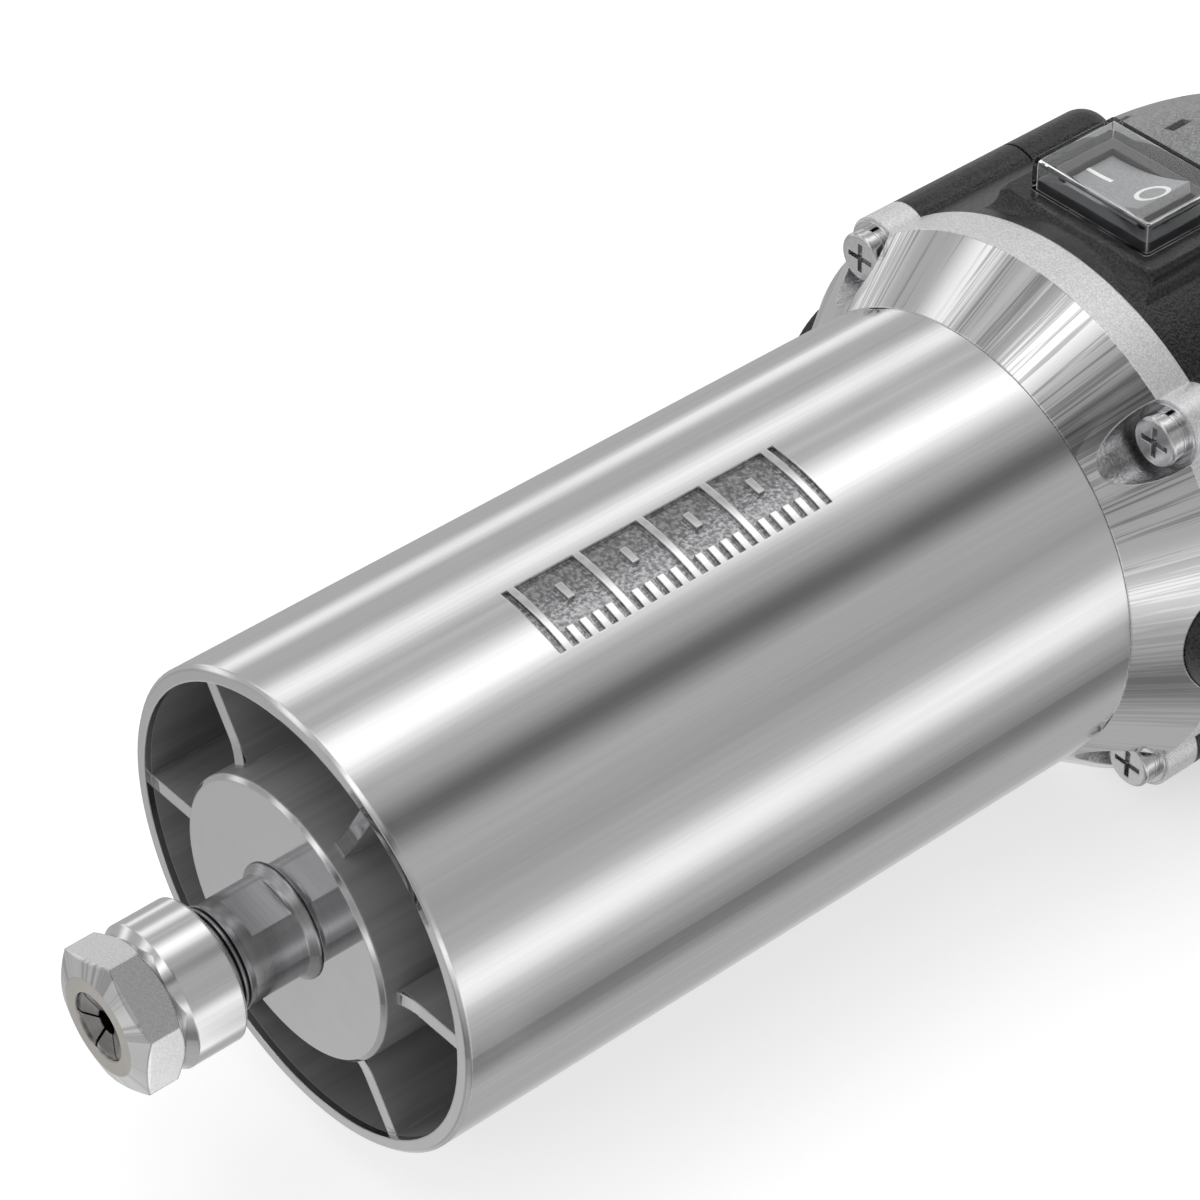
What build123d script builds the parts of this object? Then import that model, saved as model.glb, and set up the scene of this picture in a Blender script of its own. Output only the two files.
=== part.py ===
from build123d import *
import math
import os

# Motor spindle with a collet chuck, in millimetres.
# The spindle axis is Y: the collet faces -Y, the motor lies towards +Y and the switch looks up, +Z.
# The origin is on the spindle axis at the middle of the clamping barrel.

# Driving dimensions: clamping barrel and front hub
clamp_diameter = 65.0
barrel_length = 108.0
barrel_wall = 2.0
rim_chamfer = 0.55
hub_diameter = 38.4
hub_projection = 1.9
hub_chamfer = 0.6
hub_face_wall = 3.0
hub_rear_setback = 9.0
rib_count = 6
rib_thickness = 2.0
rib_setback = 0.9
rib_sweep = 3.5
pry_notch_angles = (117.0, -23.0)
pry_notch_radius = 4.6
pry_notch_depth = 0.8
pry_notch_reach = 1.0

# Driving dimensions: setting scale let into the barrel
scale_windows = 4
scale_pitch = 10.0
scale_tooth = 1.0
scale_teeth = 5
scale_depth = 0.6
scale_centre = -0.75
scale_top_angle = 88.0
scale_window_angle = 73.0
scale_bottom_angle = 68.3
scale_mark_angle = 80.8
scale_mark_span = 4.6

# Driving dimensions: cone flange between the barrel and the motor
cone_length = 10.2
flange_diameter = 78.2
flange_band = 5.9
flange_wall = 3.2
spigot_length = 7.0
spigot_wall = 2.8
bolt_inset = 1.3
bolt_angles = (45.0, 135.0, 225.0, 315.0)
lug_radius = 4.6
lug_setback = 0.4
pocket_wall = 1.7

# Driving dimensions: flange screws
screw_diameter = 4.0
screw_grip = 16.0
screw_head_diameter = 7.0
screw_head_height = 1.9
screw_head_round = 0.5
cross_span = 4.4
cross_width = 0.8
cross_depth = 1.1
spring_washer_height = 0.8
spring_washer_split = 0.7
flat_washer_height = 0.4
flat_washer_diameter = 8.4

# Driving dimensions: spindle shaft and its bearings
shaft_diameter = 15.0
nose_diameter = 13.5
nose_projection = 21.7
shoulder_diameter = 15.6
shoulder_gap = 0.15
thread_diameter = 14.0
thread_pitch = 0.75
thread_length = 12.0
thread_rings = 4
wrench_flats = 12.0
wrench_flat_length = 5.8
wrench_flat_angle = 78.0
motor_shaft_diameter = 12.0
tail_diameter = 8.0
bearing_outer = 32.0
bearing_width = 9.0
bearing_ball = 4.76
bearing_balls = 8
bearing_rim = 2.7
tail_bearing_outer = 22.0
tail_bearing_width = 7.0
tail_bearing_ball = 3.97
tail_bearing_rim = 1.9
shield_thickness = 0.3
circlip_thickness = 1.2
circlip_groove = 0.8
spacer_wall = 2.4
wave_spring_height = 1.6
wave_spring_thickness = 0.5
waves = 3

# Driving dimensions: collet and its nut
collet_length = 18.0
collet_large_diameter = 11.5
collet_taper = 8.0
collet_nose_diameter = 8.9
collet_collar_diameter = 11.1
collet_collar_length = 2.3
collet_groove_length = 1.6
collet_groove_diameter = 9.5
collet_bore = 3.175
collet_dish = 0.8
collet_dish_diameter = 7.6
collet_slots = 6
collet_slot_width = 0.35
collet_slot_angle = 10.0
collet_recess = 0.35
nut_flats = 17.0
nut_flat_angle = 20.0
nut_hex_length = 6.3
nut_length = 14.55
nut_collar_diameter = 19.0
nut_collar_front_chamfer = 1.2
nut_collar_rear_chamfer = 0.3
nut_hex_rear_chamfer = 1.0
nut_face_diameter = 12.9
nut_face_chamfer_height = 1.3
nut_mouth_wall = 0.75
nut_lip = 0.5

# Driving dimensions: motor housing
housing_wall = 2.8
housing_length = 26.4
ridge_length = 36.9
ridge_end_round = 4.0
housing_seam_position = 20.3
housing_seam_width = 0.4
housing_spigot_length = 4.0
brush_offset = 0.5
brush_boss_diameter = 21.4
brush_boss_projection = 0.1
pedestal_half_width = 13.6
pedestal_front = 3.7
pedestal_length = 20.0
pedestal_height = 0.6
pedestal_cove = 2.6
pedestal_sink = 0.1
pedestal_corner = 2.2
pedestal_flare = 5.0
pedestal_rim = 0.5
post_angles = (0.0, 90.0, 180.0, 270.0)
post_radius = 2.45
post_length = 10.6
post_root = 4.2
post_root_wall = 1.2

# Driving dimensions: end cap
cap_length = 50.0
cap_straight = 8.0
cap_bulge = 49.5
cap_wall = 2.4
slot_angles = (58.8, 75.3, 104.7, 121.2)
slot_rows = (6.6, 19.0, 30.0)
slot_length = 3.6
slot_width = 1.8
slot_reach = 16.0
cap_screw_diameter = 3.0
cap_screw_head_diameter = 5.6
cap_screw_head_height = 2.2
cap_screw_length = 12.0
cap_boss_wall = 1.1
cap_seat_wall = 1.2
tail_seat_wall = 2.2
gland_offset = 17.0
gland_boss_diameter = 13.0
gland_boss_projection = 3.0
gland_thread_diameter = 9.6
gland_bore = 6.6
gland_nut_flats = 12.0
gland_nut_length = 5.5
gland_dome_length = 5.0
gland_seal_wall = 0.7

# Driving dimensions: rocker switch under its clear cover
switch_station = 13.35
cover_length = 20.9
cover_width = 15.2
cover_height = 4.84
cover_wall = 0.8
cover_round = 0.7
bezel_height = 1.6
switch_body_depth = 10.6
switch_body_length = 17.0
switch_body_width = 11.6
bezel_rim = 0.9
rocker_length = 13.8
rocker_width = 9.2
rocker_pivot_drop = 3.2
rocker_crown = 3.0
rocker_dip = 0.8
rocker_end_height = 1.6
rocker_root_width = 5.2
rocker_tilt = 11.5
rocker_pin_diameter = 2.0
terminal_width = 4.7
terminal_length = 7.0
terminal_thickness = 0.8
terminal_pitch = 6.0

# Driving dimensions: motor
commutator_diameter = 24.0
commutator_length = 17.0
commutator_bars = 22
commutator_bar_depth = 3.0
commutator_gap = 0.5
riser_height = 1.5
riser_length = 2.0
brush_width = 6.4
brush_height = 8.0
brush_length = 14.0
brush_holder_wall = 0.8
brush_cap_diameter = 15.0
brush_cap_length = 5.2
brush_cap_slot_width = 2.0
brush_cap_slot_depth = 1.6
brush_spring_diameter = 4.6
brush_spring_wire = 0.6
brush_spring_turns = 4
stack_start = 23.9
stack_length = 28.0
armature_share = 0.56
air_gap = 0.5
armature_slots = 12
armature_slot_diameter = 4.6
armature_slot_mouth = 1.6
armature_slot_inset = 4.0
end_turn_length = 6.0
field_gap = 5.0
field_yoke = 6.2
pole_half_angle = 60.0
pole_shoe = 2.4
pole_neck = 20.0
coil_width = 5.6
coil_clearance = 0.3
fan_diameter = 48.0
fan_gap = 1.5
fan_length = 6.5
fan_disc = 1.4
fan_blades = 9
fan_blade_thickness = 1.3
fan_blade_sweep = 34.0
fan_hub_diameter = 18.0

# Clearances
press_gap = 0.02
running_gap = 0.06
seat_gap = 0.1
free_gap = 0.3
brush_gap = 0.3

# Stations along the spindle axis
barrel_front = -barrel_length / 2
barrel_rear = barrel_length / 2
hub_face = barrel_front - hub_projection
hub_rear = barrel_rear - hub_rear_setback
cone_rear = barrel_rear + cone_length
flange_rear = cone_rear + flange_band
lug_face = cone_rear + lug_setback
brush_station = flange_rear + brush_offset
housing_rear = flange_rear + housing_length
ridge_rear = flange_rear + ridge_length
post_rear = housing_rear - post_root + post_length
cap_round_station = housing_rear + cap_straight
cap_rear = housing_rear + cap_length
bearing_front = hub_face + hub_face_wall
bearing_pair_rear = bearing_front + 2 * bearing_width
mid_circlip = hub_rear - 2 * circlip_thickness
mid_bearing_front = mid_circlip - bearing_width
thread_front = hub_face - nose_projection
shoulder_rear = hub_face - shoulder_gap
shoulder_front = shoulder_rear - (shoulder_diameter - nose_diameter) / 2
flats_rear = shoulder_front - free_gap
thread_rear = thread_front + thread_length
collet_front = thread_front - 5.0 + collet_recess
nut_front = collet_front - collet_recess
nut_rear = nut_front + nut_length
stack_front = flange_rear + stack_start
stack_rear = stack_front + stack_length
commutator_front = brush_station - commutator_length / 2
commutator_rear = commutator_front + commutator_length
fan_front = stack_rear + end_turn_length + fan_gap
fan_rear = fan_front + fan_length
tail_bearing_rear = cap_rear - cap_wall
tail_bearing_front = tail_bearing_rear - tail_bearing_width

# Radii used by several pieces
clamp_radius = clamp_diameter / 2
cavity_radius = clamp_radius - barrel_wall
hub_radius = hub_diameter / 2
flange_radius = flange_diameter / 2
flange_bore = flange_radius - flange_wall - 0.4
housing_radius = flange_radius - 0.1
housing_bore = housing_radius - housing_wall
post_pitch_radius = housing_radius - cap_wall - seat_gap - post_radius
bolt_radius = flange_radius - bolt_inset
shaft_radius = shaft_diameter / 2
thread_radius = thread_diameter / 2
motor_shaft_radius = motor_shaft_diameter / 2
tail_radius = tail_diameter / 2
bearing_seat = bearing_outer / 2
screw_radius = screw_diameter / 2
field_diameter = 2 * (housing_bore - field_gap)
armature_diameter = armature_share * field_diameter
armature_slot_circle = armature_diameter - 2 * armature_slot_inset
pedestal_top = housing_radius + pedestal_height
switch_centre = flange_rear + switch_station
cap_head_bore = cap_screw_head_diameter / 2 + seat_gap
rocker_pivot_height = pedestal_top + bezel_height - rocker_pivot_drop
brush_cap_face = flange_radius + brush_boss_projection


def rod(radius, start, end, x=0.0, z=0.0):
    """Cylinder along the spindle axis between two stations."""
    section = Plane.XZ.offset(-start) * Pos(x, z) * Circle(radius)
    return extrude(section, amount=-(end - start))


def tube(inner, outer, start, end, x=0.0, z=0.0):
    """Round tube along the spindle axis between two stations."""
    section = Plane.XZ.offset(-start) * Pos(x, z) * (Circle(outer) - Circle(inner))
    return extrude(section, amount=-(end - start))


def prism(sketch, start, end):
    """Section drawn as seen from the collet end, run along the spindle axis."""
    return extrude(Plane.XZ.offset(-start) * sketch, amount=-(end - start))


def turned(points):
    """Solid of revolution from (radius, station) corner points."""
    return revolve(make_face(Polyline(*points, close=True)), Axis.Y)


def cross_rod(radius, start, end, station, z=0.0):
    """Cylinder along X between two distances from the spindle axis."""
    plane = Plane(origin=(start, station, z), x_dir=(0, 1, 0), z_dir=(1, 0, 0))
    return extrude(plane * Circle(radius), amount=end - start)


def block(x0, x1, y0, y1, z0, z1):
    """Box between two corners."""
    size = (x1 - x0, y1 - y0, z1 - z0)
    return Pos((x0 + x1) / 2, (y0 + y1) / 2, (z0 + z1) / 2) * Box(*size)


def ring_sector(inner, outer, first_angle, last_angle):
    """Sketch of part of a ring, angles from +X towards +Z."""
    span = last_angle - first_angle
    outer_arc = CenterArc((0, 0), outer, first_angle, span)
    inner_arc = CenterArc((0, 0), inner, first_angle, span)
    sides = [Line(inner_arc @ 0, outer_arc @ 0), Line(inner_arc @ 1, outer_arc @ 1)]
    return make_face([outer_arc, inner_arc] + sides)


def on_circle(radius, angle):
    """Point on a circle round the spindle axis."""
    turn = math.radians(angle)
    return radius * math.cos(turn), radius * math.sin(turn)


def spun(shape, angle):
    """Shape turned about the spindle axis, from +X towards +Z."""
    return Rot(0, -angle, 0) * shape


def around(shape, count, start_angle=0.0):
    """Copies of a shape, evenly spaced round the spindle axis."""
    return [spun(shape, start_angle + 360 * step / count) for step in range(count)]


def group(solids):
    """Separate solids kept together as one sub-part."""
    return Compound(children=[part for solid in solids for part in solid.solids()])


def fuse(shapes):
    """Shapes joined into one."""
    result = shapes[0]
    for shape in shapes[1:]:
        result = result + shape
    return result


def cut(shape, tools):
    """Shape with every tool taken out of it."""
    for tool in tools:
        shape = shape - tool
    return shape


def save(shape, node):
    """Write one sub-part as a STEP file."""
    export_step(shape, f"parts/{node}.step")


def scale_recess():
    """Shallow setting scale let into the barrel: windows with teeth, and a long slot at each end."""
    floor = clamp_radius - scale_depth
    proud = clamp_radius + 1.0
    width = scale_pitch - scale_tooth
    first = scale_centre - (scale_windows * scale_pitch - scale_tooth) / 2
    tools = []
    for window in range(scale_windows):
        start = first + window * scale_pitch
        pane = prism(ring_sector(floor, proud, scale_window_angle, scale_top_angle), start, start + width)
        middle = start + width / 2
        mark = prism(
            ring_sector(
                floor - 1.0,
                clamp_radius,
                scale_mark_angle - scale_mark_span / 2,
                scale_mark_angle + scale_mark_span / 2,
            ),
            middle - scale_tooth / 2,
            middle + scale_tooth / 2,
        )
        tools.append(pane - mark)
        for tooth in range(scale_teeth):
            left = start + 2 * tooth * scale_tooth
            gap = ring_sector(floor, proud, scale_bottom_angle, scale_window_angle + 0.5)
            tools.append(prism(gap, left, left + scale_tooth))
    slot = ring_sector(floor, proud, scale_bottom_angle, scale_top_angle)
    before = first - 2 * scale_tooth
    after = first + scale_windows * scale_pitch
    tools.append(prism(slot, before, before + scale_tooth))
    tools.append(prism(slot, after, after + scale_tooth))
    return tools


def pry_notches():
    """Shallow lens-shaped notches at the barrel's rear edge, where a blade parts the joint."""
    floor = clamp_radius - pry_notch_depth
    centre = barrel_rear + pry_notch_radius - pry_notch_reach
    tool = cross_rod(pry_notch_radius, floor, clamp_radius + 2.0, centre)
    return [spun(tool, angle) for angle in pry_notch_angles]


def rib():
    """One radial rib: its front edge lies behind the rim and sweeps forward to the hub."""
    front = barrel_front + rib_setback
    root = hub_radius - 0.6
    rear = hub_rear
    tip = cavity_radius + barrel_wall / 2
    sweep_end = hub_radius + rib_sweep
    sweep = TangentArc((sweep_end, front), (root, barrel_front), tangent=(-1, 0))
    edges = [
        sweep,
        Line((root, barrel_front), (root, rear)),
        Line((root, rear), (tip, rear)),
        Line((tip, rear), (tip, front)),
        Line((tip, front), (sweep_end, front)),
    ]
    return extrude(make_face(edges), amount=rib_thickness / 2, both=True)


def barrel_housing():
    """Clamping barrel, hub tube and ribs in one casting, turned outside and in the bearing seats."""
    barrel = turned(
        [
            (cavity_radius, barrel_front),
            (clamp_radius - rim_chamfer, barrel_front),
            (clamp_radius, barrel_front + rim_chamfer),
            (clamp_radius, barrel_rear - rim_chamfer / 2),
            (clamp_radius - rim_chamfer / 2, barrel_rear),
            (cavity_radius, barrel_rear),
        ]
    )
    hub = turned(
        [
            (shaft_radius + running_gap, hub_face),
            (hub_radius - hub_chamfer, hub_face),
            (hub_radius, hub_face + hub_chamfer),
            (hub_radius, hub_rear),
            (bearing_seat + press_gap, hub_rear),
            (bearing_seat + press_gap, bearing_front),
            (shaft_radius + running_gap, bearing_front),
        ]
    )
    casting = fuse([barrel, hub] + around(rib(), rib_count))
    groove = tube(
        bearing_seat - 1.0,
        bearing_seat + circlip_groove,
        mid_circlip,
        mid_circlip + circlip_thickness + seat_gap,
    )
    return cut(casting, scale_recess() + pry_notches() + [groove])


def flange_screw_points():
    """Centres of the four flange screws, seen along the axis."""
    return [on_circle(bolt_radius, angle) for angle in bolt_angles]


def post_points():
    """Centres of the housing's four posts, which carry the end cap."""
    return [on_circle(post_pitch_radius, angle) for angle in post_angles]


def motor_flange():
    """Cone that widens from the barrel to the motor, with four screw lugs in scooped pockets."""
    spigot = cavity_radius - seat_gap
    outside = [
        (spigot - spigot_wall, barrel_rear - spigot_length),
        (spigot, barrel_rear - spigot_length),
        (spigot, barrel_rear),
        (clamp_radius - 0.1, barrel_rear),
        (flange_radius - 0.15, cone_rear),
        (flange_radius, cone_rear + 0.15),
        (flange_radius, flange_rear),
    ]
    inside = [
        (flange_bore, flange_rear),
        (flange_bore, cone_rear - 0.6),
        (spigot - spigot_wall, barrel_rear),
    ]
    shell = turned(outside + inside)
    body = turned([(0, barrel_rear)] + outside[3:] + [(0, flange_rear)])
    bosses = []
    for x, z in flange_screw_points():
        boss = rod(lug_radius + pocket_wall, barrel_rear, flange_rear, x, z) & body
        bosses.append(boss)
        bosses.append(rod(lug_radius, lug_face, flange_rear, x, z))
    casting = fuse([shell] + bosses)
    tools = []
    for x, z in flange_screw_points():
        tools.append(rod(lug_radius, barrel_rear - 1.0, lug_face, x, z))
        tools.append(rod(screw_radius + seat_gap, lug_face - 1.0, flange_rear + 1.0, x, z))
    for side in (-1, 1):
        notch = brush_boss_diameter / 2 + seat_gap
        tools.append(cross_rod(notch, side * 24.0, side * (flange_radius + 2.0), brush_station))
    return cut(casting, tools)


def screw(head_radius, head_height, head_round, radius, length, recess):
    """Pan-head screw along +Y, its head's seat at the origin and its face towards -Y."""
    head = rod(head_radius, -head_height, 0)
    head = fillet(head.edges().group_by(Axis.Y)[0], head_round)
    shank = rod(radius, 0, length)
    span, width, depth = recess
    bars = [
        block(-span / 2, span / 2, -head_height - 1, depth - head_height, -width / 2, width / 2),
        block(-width / 2, width / 2, -head_height - 1, depth - head_height, -span / 2, span / 2),
    ]
    return cut(head + shank, bars)


def flange_screws():
    """Four pan-head screws that clamp the flange to the motor housing."""
    seat = lug_face - flat_washer_height - spring_washer_height
    one = screw(
        screw_head_diameter / 2,
        screw_head_height,
        screw_head_round,
        screw_radius,
        screw_grip,
        (cross_span, cross_width, cross_depth),
    )
    return group([Pos(x, seat, z) * one for x, z in flange_screw_points()])


def spring_washers():
    """Split spring washers under the flange screws."""
    start = lug_face - flat_washer_height - spring_washer_height
    end = lug_face - flat_washer_height
    washers = []
    for x, z in flange_screw_points():
        ring = tube(screw_radius + seat_gap, screw_head_diameter / 2, start, end, x, z)
        split = block(
            x - spring_washer_split / 2,
            x + spring_washer_split / 2,
            start - 1,
            end + 1,
            z,
            z + screw_head_diameter,
        )
        washers.append(ring - split)
    return group(washers)


def flat_washers():
    """Flat washers on the lugs."""
    start = lug_face - flat_washer_height
    washers = [
        tube(screw_radius + seat_gap, flat_washer_diameter / 2, start, lug_face, x, z)
        for x, z in flange_screw_points()
    ]
    return group(washers)


def pedestal_across():
    """Section of the switch's seat across the housing: flat top, walls, and coves down to the housing."""
    half = pedestal_half_width
    foot = housing_radius - pedestal_sink
    reach = foot + pedestal_cove
    centre_x = half + pedestal_cove
    centre_z = math.sqrt(reach**2 - centre_x**2)
    foot_x = centre_x * foot / reach
    foot_z = centre_z * foot / reach
    root_x = centre_x * housing_bore / reach
    root_z = centre_z * housing_bore / reach
    lean = math.radians(35)
    bend_x = centre_x - pedestal_cove * math.cos(lean)
    bend_z = centre_z - pedestal_cove * math.sin(lean)
    brim = half - pedestal_rim
    edges = [Line((-brim, pedestal_top), (brim, pedestal_top)), Line((-root_x, root_z), (root_x, root_z))]
    for hand in (-1, 1):
        edges.append(Line((hand * brim, pedestal_top), (hand * half, pedestal_top - pedestal_rim)))
        edges.append(Line((hand * half, pedestal_top - pedestal_rim), (hand * half, centre_z)))
        edges.append(ThreePointArc((hand * half, centre_z), (hand * bend_x, bend_z), (hand * foot_x, foot_z)))
        edges.append(Line((hand * foot_x, foot_z), (hand * root_x, root_z)))
    return make_face(edges)


def pedestal_band():
    """Section of the switch's seat along the spindle, from the axis outwards, with coves at both ends."""
    front = flange_rear + pedestal_front
    rear = front + pedestal_length
    cove = pedestal_cove
    low = housing_radius - pedestal_sink
    high = housing_radius + 2 * cove
    root = housing_radius - housing_wall / 2
    edges = [Line((high, front), (high, rear)), Line((root, front - cove), (root, rear + cove))]
    for end, hand in ((front, -1), (rear, 1)):
        cove_end = end + hand * cove
        bend = TangentArc((low, cove_end), (low + cove, end), tangent=(0, -hand))
        edges.append(Line((high, end), (low + cove, end)))
        edges.append(bend)
        edges.append(Line((low, cove_end), (root, cove_end)))
    return make_face(edges)


def pedestal_flanks():
    """Form that widens downwards from the top of the switch's seat and rounds its corners."""
    middle = flange_rear + pedestal_front + pedestal_length / 2
    width = 2 * pedestal_half_width + press_gap
    length = pedestal_length + press_gap
    spread = 2 * pedestal_flare
    top = Pos(0, middle, pedestal_top) * RectangleRounded(width, length, pedestal_corner)
    foot_corner = pedestal_corner + pedestal_flare
    foot = RectangleRounded(width + spread, length + spread, foot_corner)
    return loft([top, Pos(0, middle, pedestal_top - pedestal_flare) * foot], ruled=True)


def pedestal():
    """Raised seat of the switch: a flat top that flows down to the housing in coves."""
    front = flange_rear + pedestal_front - pedestal_cove
    rear = front + pedestal_length + 2 * pedestal_cove
    return prism(pedestal_across(), front, rear) & revolve(pedestal_band(), Axis.Y) & pedestal_flanks()


def ridge(x, z, grow=0.0):
    """Screw boss that shows as a round ridge along the housing and ends in a dome."""
    bar = rod(lug_radius + grow, flange_rear, ridge_rear + grow, x, z)
    return fillet(bar.edges().group_by(Axis.Y)[-1], ridge_end_round)


def motor_housing():
    """Black housing of the motor, with screw ridges, brush bosses and the switch pedestal."""
    shell = tube(housing_bore, housing_radius, flange_rear, housing_rear)
    spigot_outer = flange_bore - seat_gap
    spigot = tube(spigot_outer - 2.2, spigot_outer, flange_rear - housing_spigot_length, flange_rear + 2.0)
    for x, z in flange_screw_points():
        spigot -= rod(lug_radius + pocket_wall + free_gap, flange_rear - 6.0, flange_rear, x, z)
    bridge = tube(spigot_outer - 2.2, housing_bore + 0.5, flange_rear, flange_rear + 2.0)
    ridges = [ridge(x, z) for x, z in flange_screw_points()]
    body = fuse([shell, spigot, bridge] + ridges)
    inner_reach = 30.0
    for side in (-1, 1):
        boss = cross_rod(brush_boss_diameter / 2, side * inner_reach, side * brush_cap_face, brush_station)
        body += boss
    seam_tool = tube(
        housing_radius - housing_seam_width,
        bolt_radius + 10,
        flange_rear + housing_seam_position,
        flange_rear + housing_seam_position + housing_seam_width,
    )
    seam_keep = fuse(
        [
            rod(
                lug_radius - housing_seam_width,
                flange_rear,
                ridge_rear,
                x,
                z,
            )
            for x, z in flange_screw_points()
        ]
    )
    body = body - (seam_tool - seam_keep)
    body = body + pedestal()
    for x, z in post_points():
        root = rod(post_radius + post_root_wall, post_rear - post_length, housing_rear - free_gap, x, z)
        body = body + root + rod(post_radius, housing_rear - post_radius, post_rear, x, z)
    tools = []
    for x, z in flange_screw_points():
        tools.append(rod(screw_radius + running_gap, flange_rear - 1, flange_rear + screw_grip, x, z))
    for x, z in post_points():
        bore = cap_screw_diameter / 2 + running_gap
        tools.append(rod(bore, post_rear - cap_screw_length, post_rear + 1, x, z))
    for side in (-1, 1):
        shelf = brush_cap_face - brush_cap_length
        tools.append(
            cross_rod(brush_cap_diameter / 2 + running_gap, side * shelf, side * (brush_cap_face + 1), brush_station)
        )
        x0, x1 = sorted((side * 25.0, side * (shelf + 1)))
        half_w = brush_width / 2 + brush_holder_wall + seat_gap
        half_h = brush_height / 2 + brush_holder_wall + seat_gap
        tools.append(block(x0, x1, brush_station - half_h, brush_station + half_h, -half_w, half_w))
    half_l = switch_body_length / 2 + seat_gap
    half_w = switch_body_width / 2 + seat_gap
    tools.append(
        block(
            -half_l,
            half_l,
            switch_centre - half_w,
            switch_centre + half_w,
            pedestal_top - switch_body_depth - 2,
            pedestal_top + 1,
        )
    )
    return cut(body, tools)


def cap_profile(shrink, front, rear):
    """Half section of the cap's rounded form, smaller all round by shrink."""
    wide = housing_radius - shrink
    bulge = cap_bulge - shrink
    end = wide - bulge + math.sqrt(bulge**2 - (rear - cap_round_station) ** 2)
    dome = TangentArc((wide, cap_round_station), (end, rear), tangent=(0, 1))
    edges = [
        Polyline((end, rear), (0, rear), (0, front), (wide, front), (wide, cap_round_station)),
        dome,
    ]
    return make_face(edges)


def end_cap():
    """Rounded grey cap with rows of air slots, the tail bearing's seat and the cord gland's boss."""
    outside = revolve(cap_profile(0, housing_rear, cap_rear), Axis.Y)
    hollow = revolve(cap_profile(cap_wall, housing_rear - 1, cap_rear - cap_wall), Axis.Y)
    seat = tail_bearing_outer / 2 + press_gap
    boss_radius = cap_head_bore + cap_boss_wall
    boss_front = fan_rear + 1.0
    solids = [rod(seat + tail_seat_wall, boss_front - 0.5, cap_rear)]
    solids.append(rod(gland_boss_diameter / 2, boss_front, cap_rear, 0, gland_offset))
    for x, z in post_points():
        solids.append(rod(boss_radius, post_rear, cap_rear, x, z))
    shell = outside - cut(hollow, solids)
    stub = rod(gland_boss_diameter / 2, cap_rear - 9.0, cap_rear + gland_boss_projection, 0, gland_offset)
    shell = shell + cut(stub, [hollow])
    tools = [rod(seat, boss_front - 1.0, tail_bearing_rear)]
    bore = gland_thread_diameter / 2 + seat_gap
    tools.append(rod(bore, boss_front - 1.0, cap_rear + gland_boss_projection + 1.0, 0, gland_offset))
    for x, z in post_points():
        tools.append(rod(cap_head_bore, post_rear + cap_seat_wall, cap_rear + 1.0, x, z))
        tools.append(rod(cap_screw_diameter / 2 + seat_gap, post_rear - 1.0, post_rear + 2.0, x, z))
    for x, z in flange_screw_points():
        tools.append(ridge(x, z, seat_gap))
    for quarter in (0, 90, 180, 270):
        for angle in slot_angles:
            for row in slot_rows:
                tools.append(spun(vent_slot(row), quarter + angle))
    return cut(shell, tools)


def vent_slot(row):
    """One air slot, long along the axis, cut straight out through the cap's wall at +X."""
    start = housing_rear + row - slot_length / 2
    return block(
        housing_radius - slot_reach,
        housing_radius + 2.0,
        start,
        start + slot_length,
        -slot_width / 2,
        slot_width / 2,
    )


def end_cap_screws():
    """Four small screws that hold the end cap on the housing's posts."""
    one = screw(
        cap_screw_head_diameter / 2,
        cap_screw_head_height,
        0.4,
        cap_screw_diameter / 2,
        cap_screw_length,
        (3.2, 0.6, 1.0),
    )
    flipped = Rot(180, 0, 0) * one
    return group([Pos(x, post_rear + cap_seat_wall, z) * flipped for x, z in post_points()])


def cord_gland():
    """Threaded gland body in the cap's boss, open for the mains lead."""
    end = cap_rear + gland_boss_projection
    body = tube(gland_bore / 2 + gland_seal_wall, gland_thread_diameter / 2, end - 9.0, end + 3.0)
    return Pos(0, 0, gland_offset) * body


def gland_nut():
    """Domed hexagon nut of the cord gland."""
    end = cap_rear + gland_boss_projection
    hexagon = prism(RegularPolygon(gland_nut_flats / 2, 6, major_radius=False), end + 0.1, end + gland_nut_length)
    hexagon &= rod(gland_nut_flats / 2 + 0.6, end, end + gland_nut_length)
    dome = rod(gland_nut_flats / 2 - 0.4, end + gland_nut_length, end + gland_nut_length + gland_dome_length)
    dome = fillet(dome.edges().group_by(Axis.Y)[-1], 2.2)
    nut = hexagon + dome
    nut -= rod(gland_thread_diameter / 2 + running_gap, end - 1, end + 3.0 + seat_gap)
    nut -= rod(gland_bore / 2 + gland_seal_wall, end, end + 20)
    return Pos(0, 0, gland_offset) * nut


def gland_seal():
    """Rubber sleeve inside the gland."""
    end = cap_rear + gland_boss_projection
    sleeve = tube(gland_bore / 2, gland_bore / 2 + gland_seal_wall - running_gap, end - 4.0, end + 9.0)
    return Pos(0, 0, gland_offset) * sleeve


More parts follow.
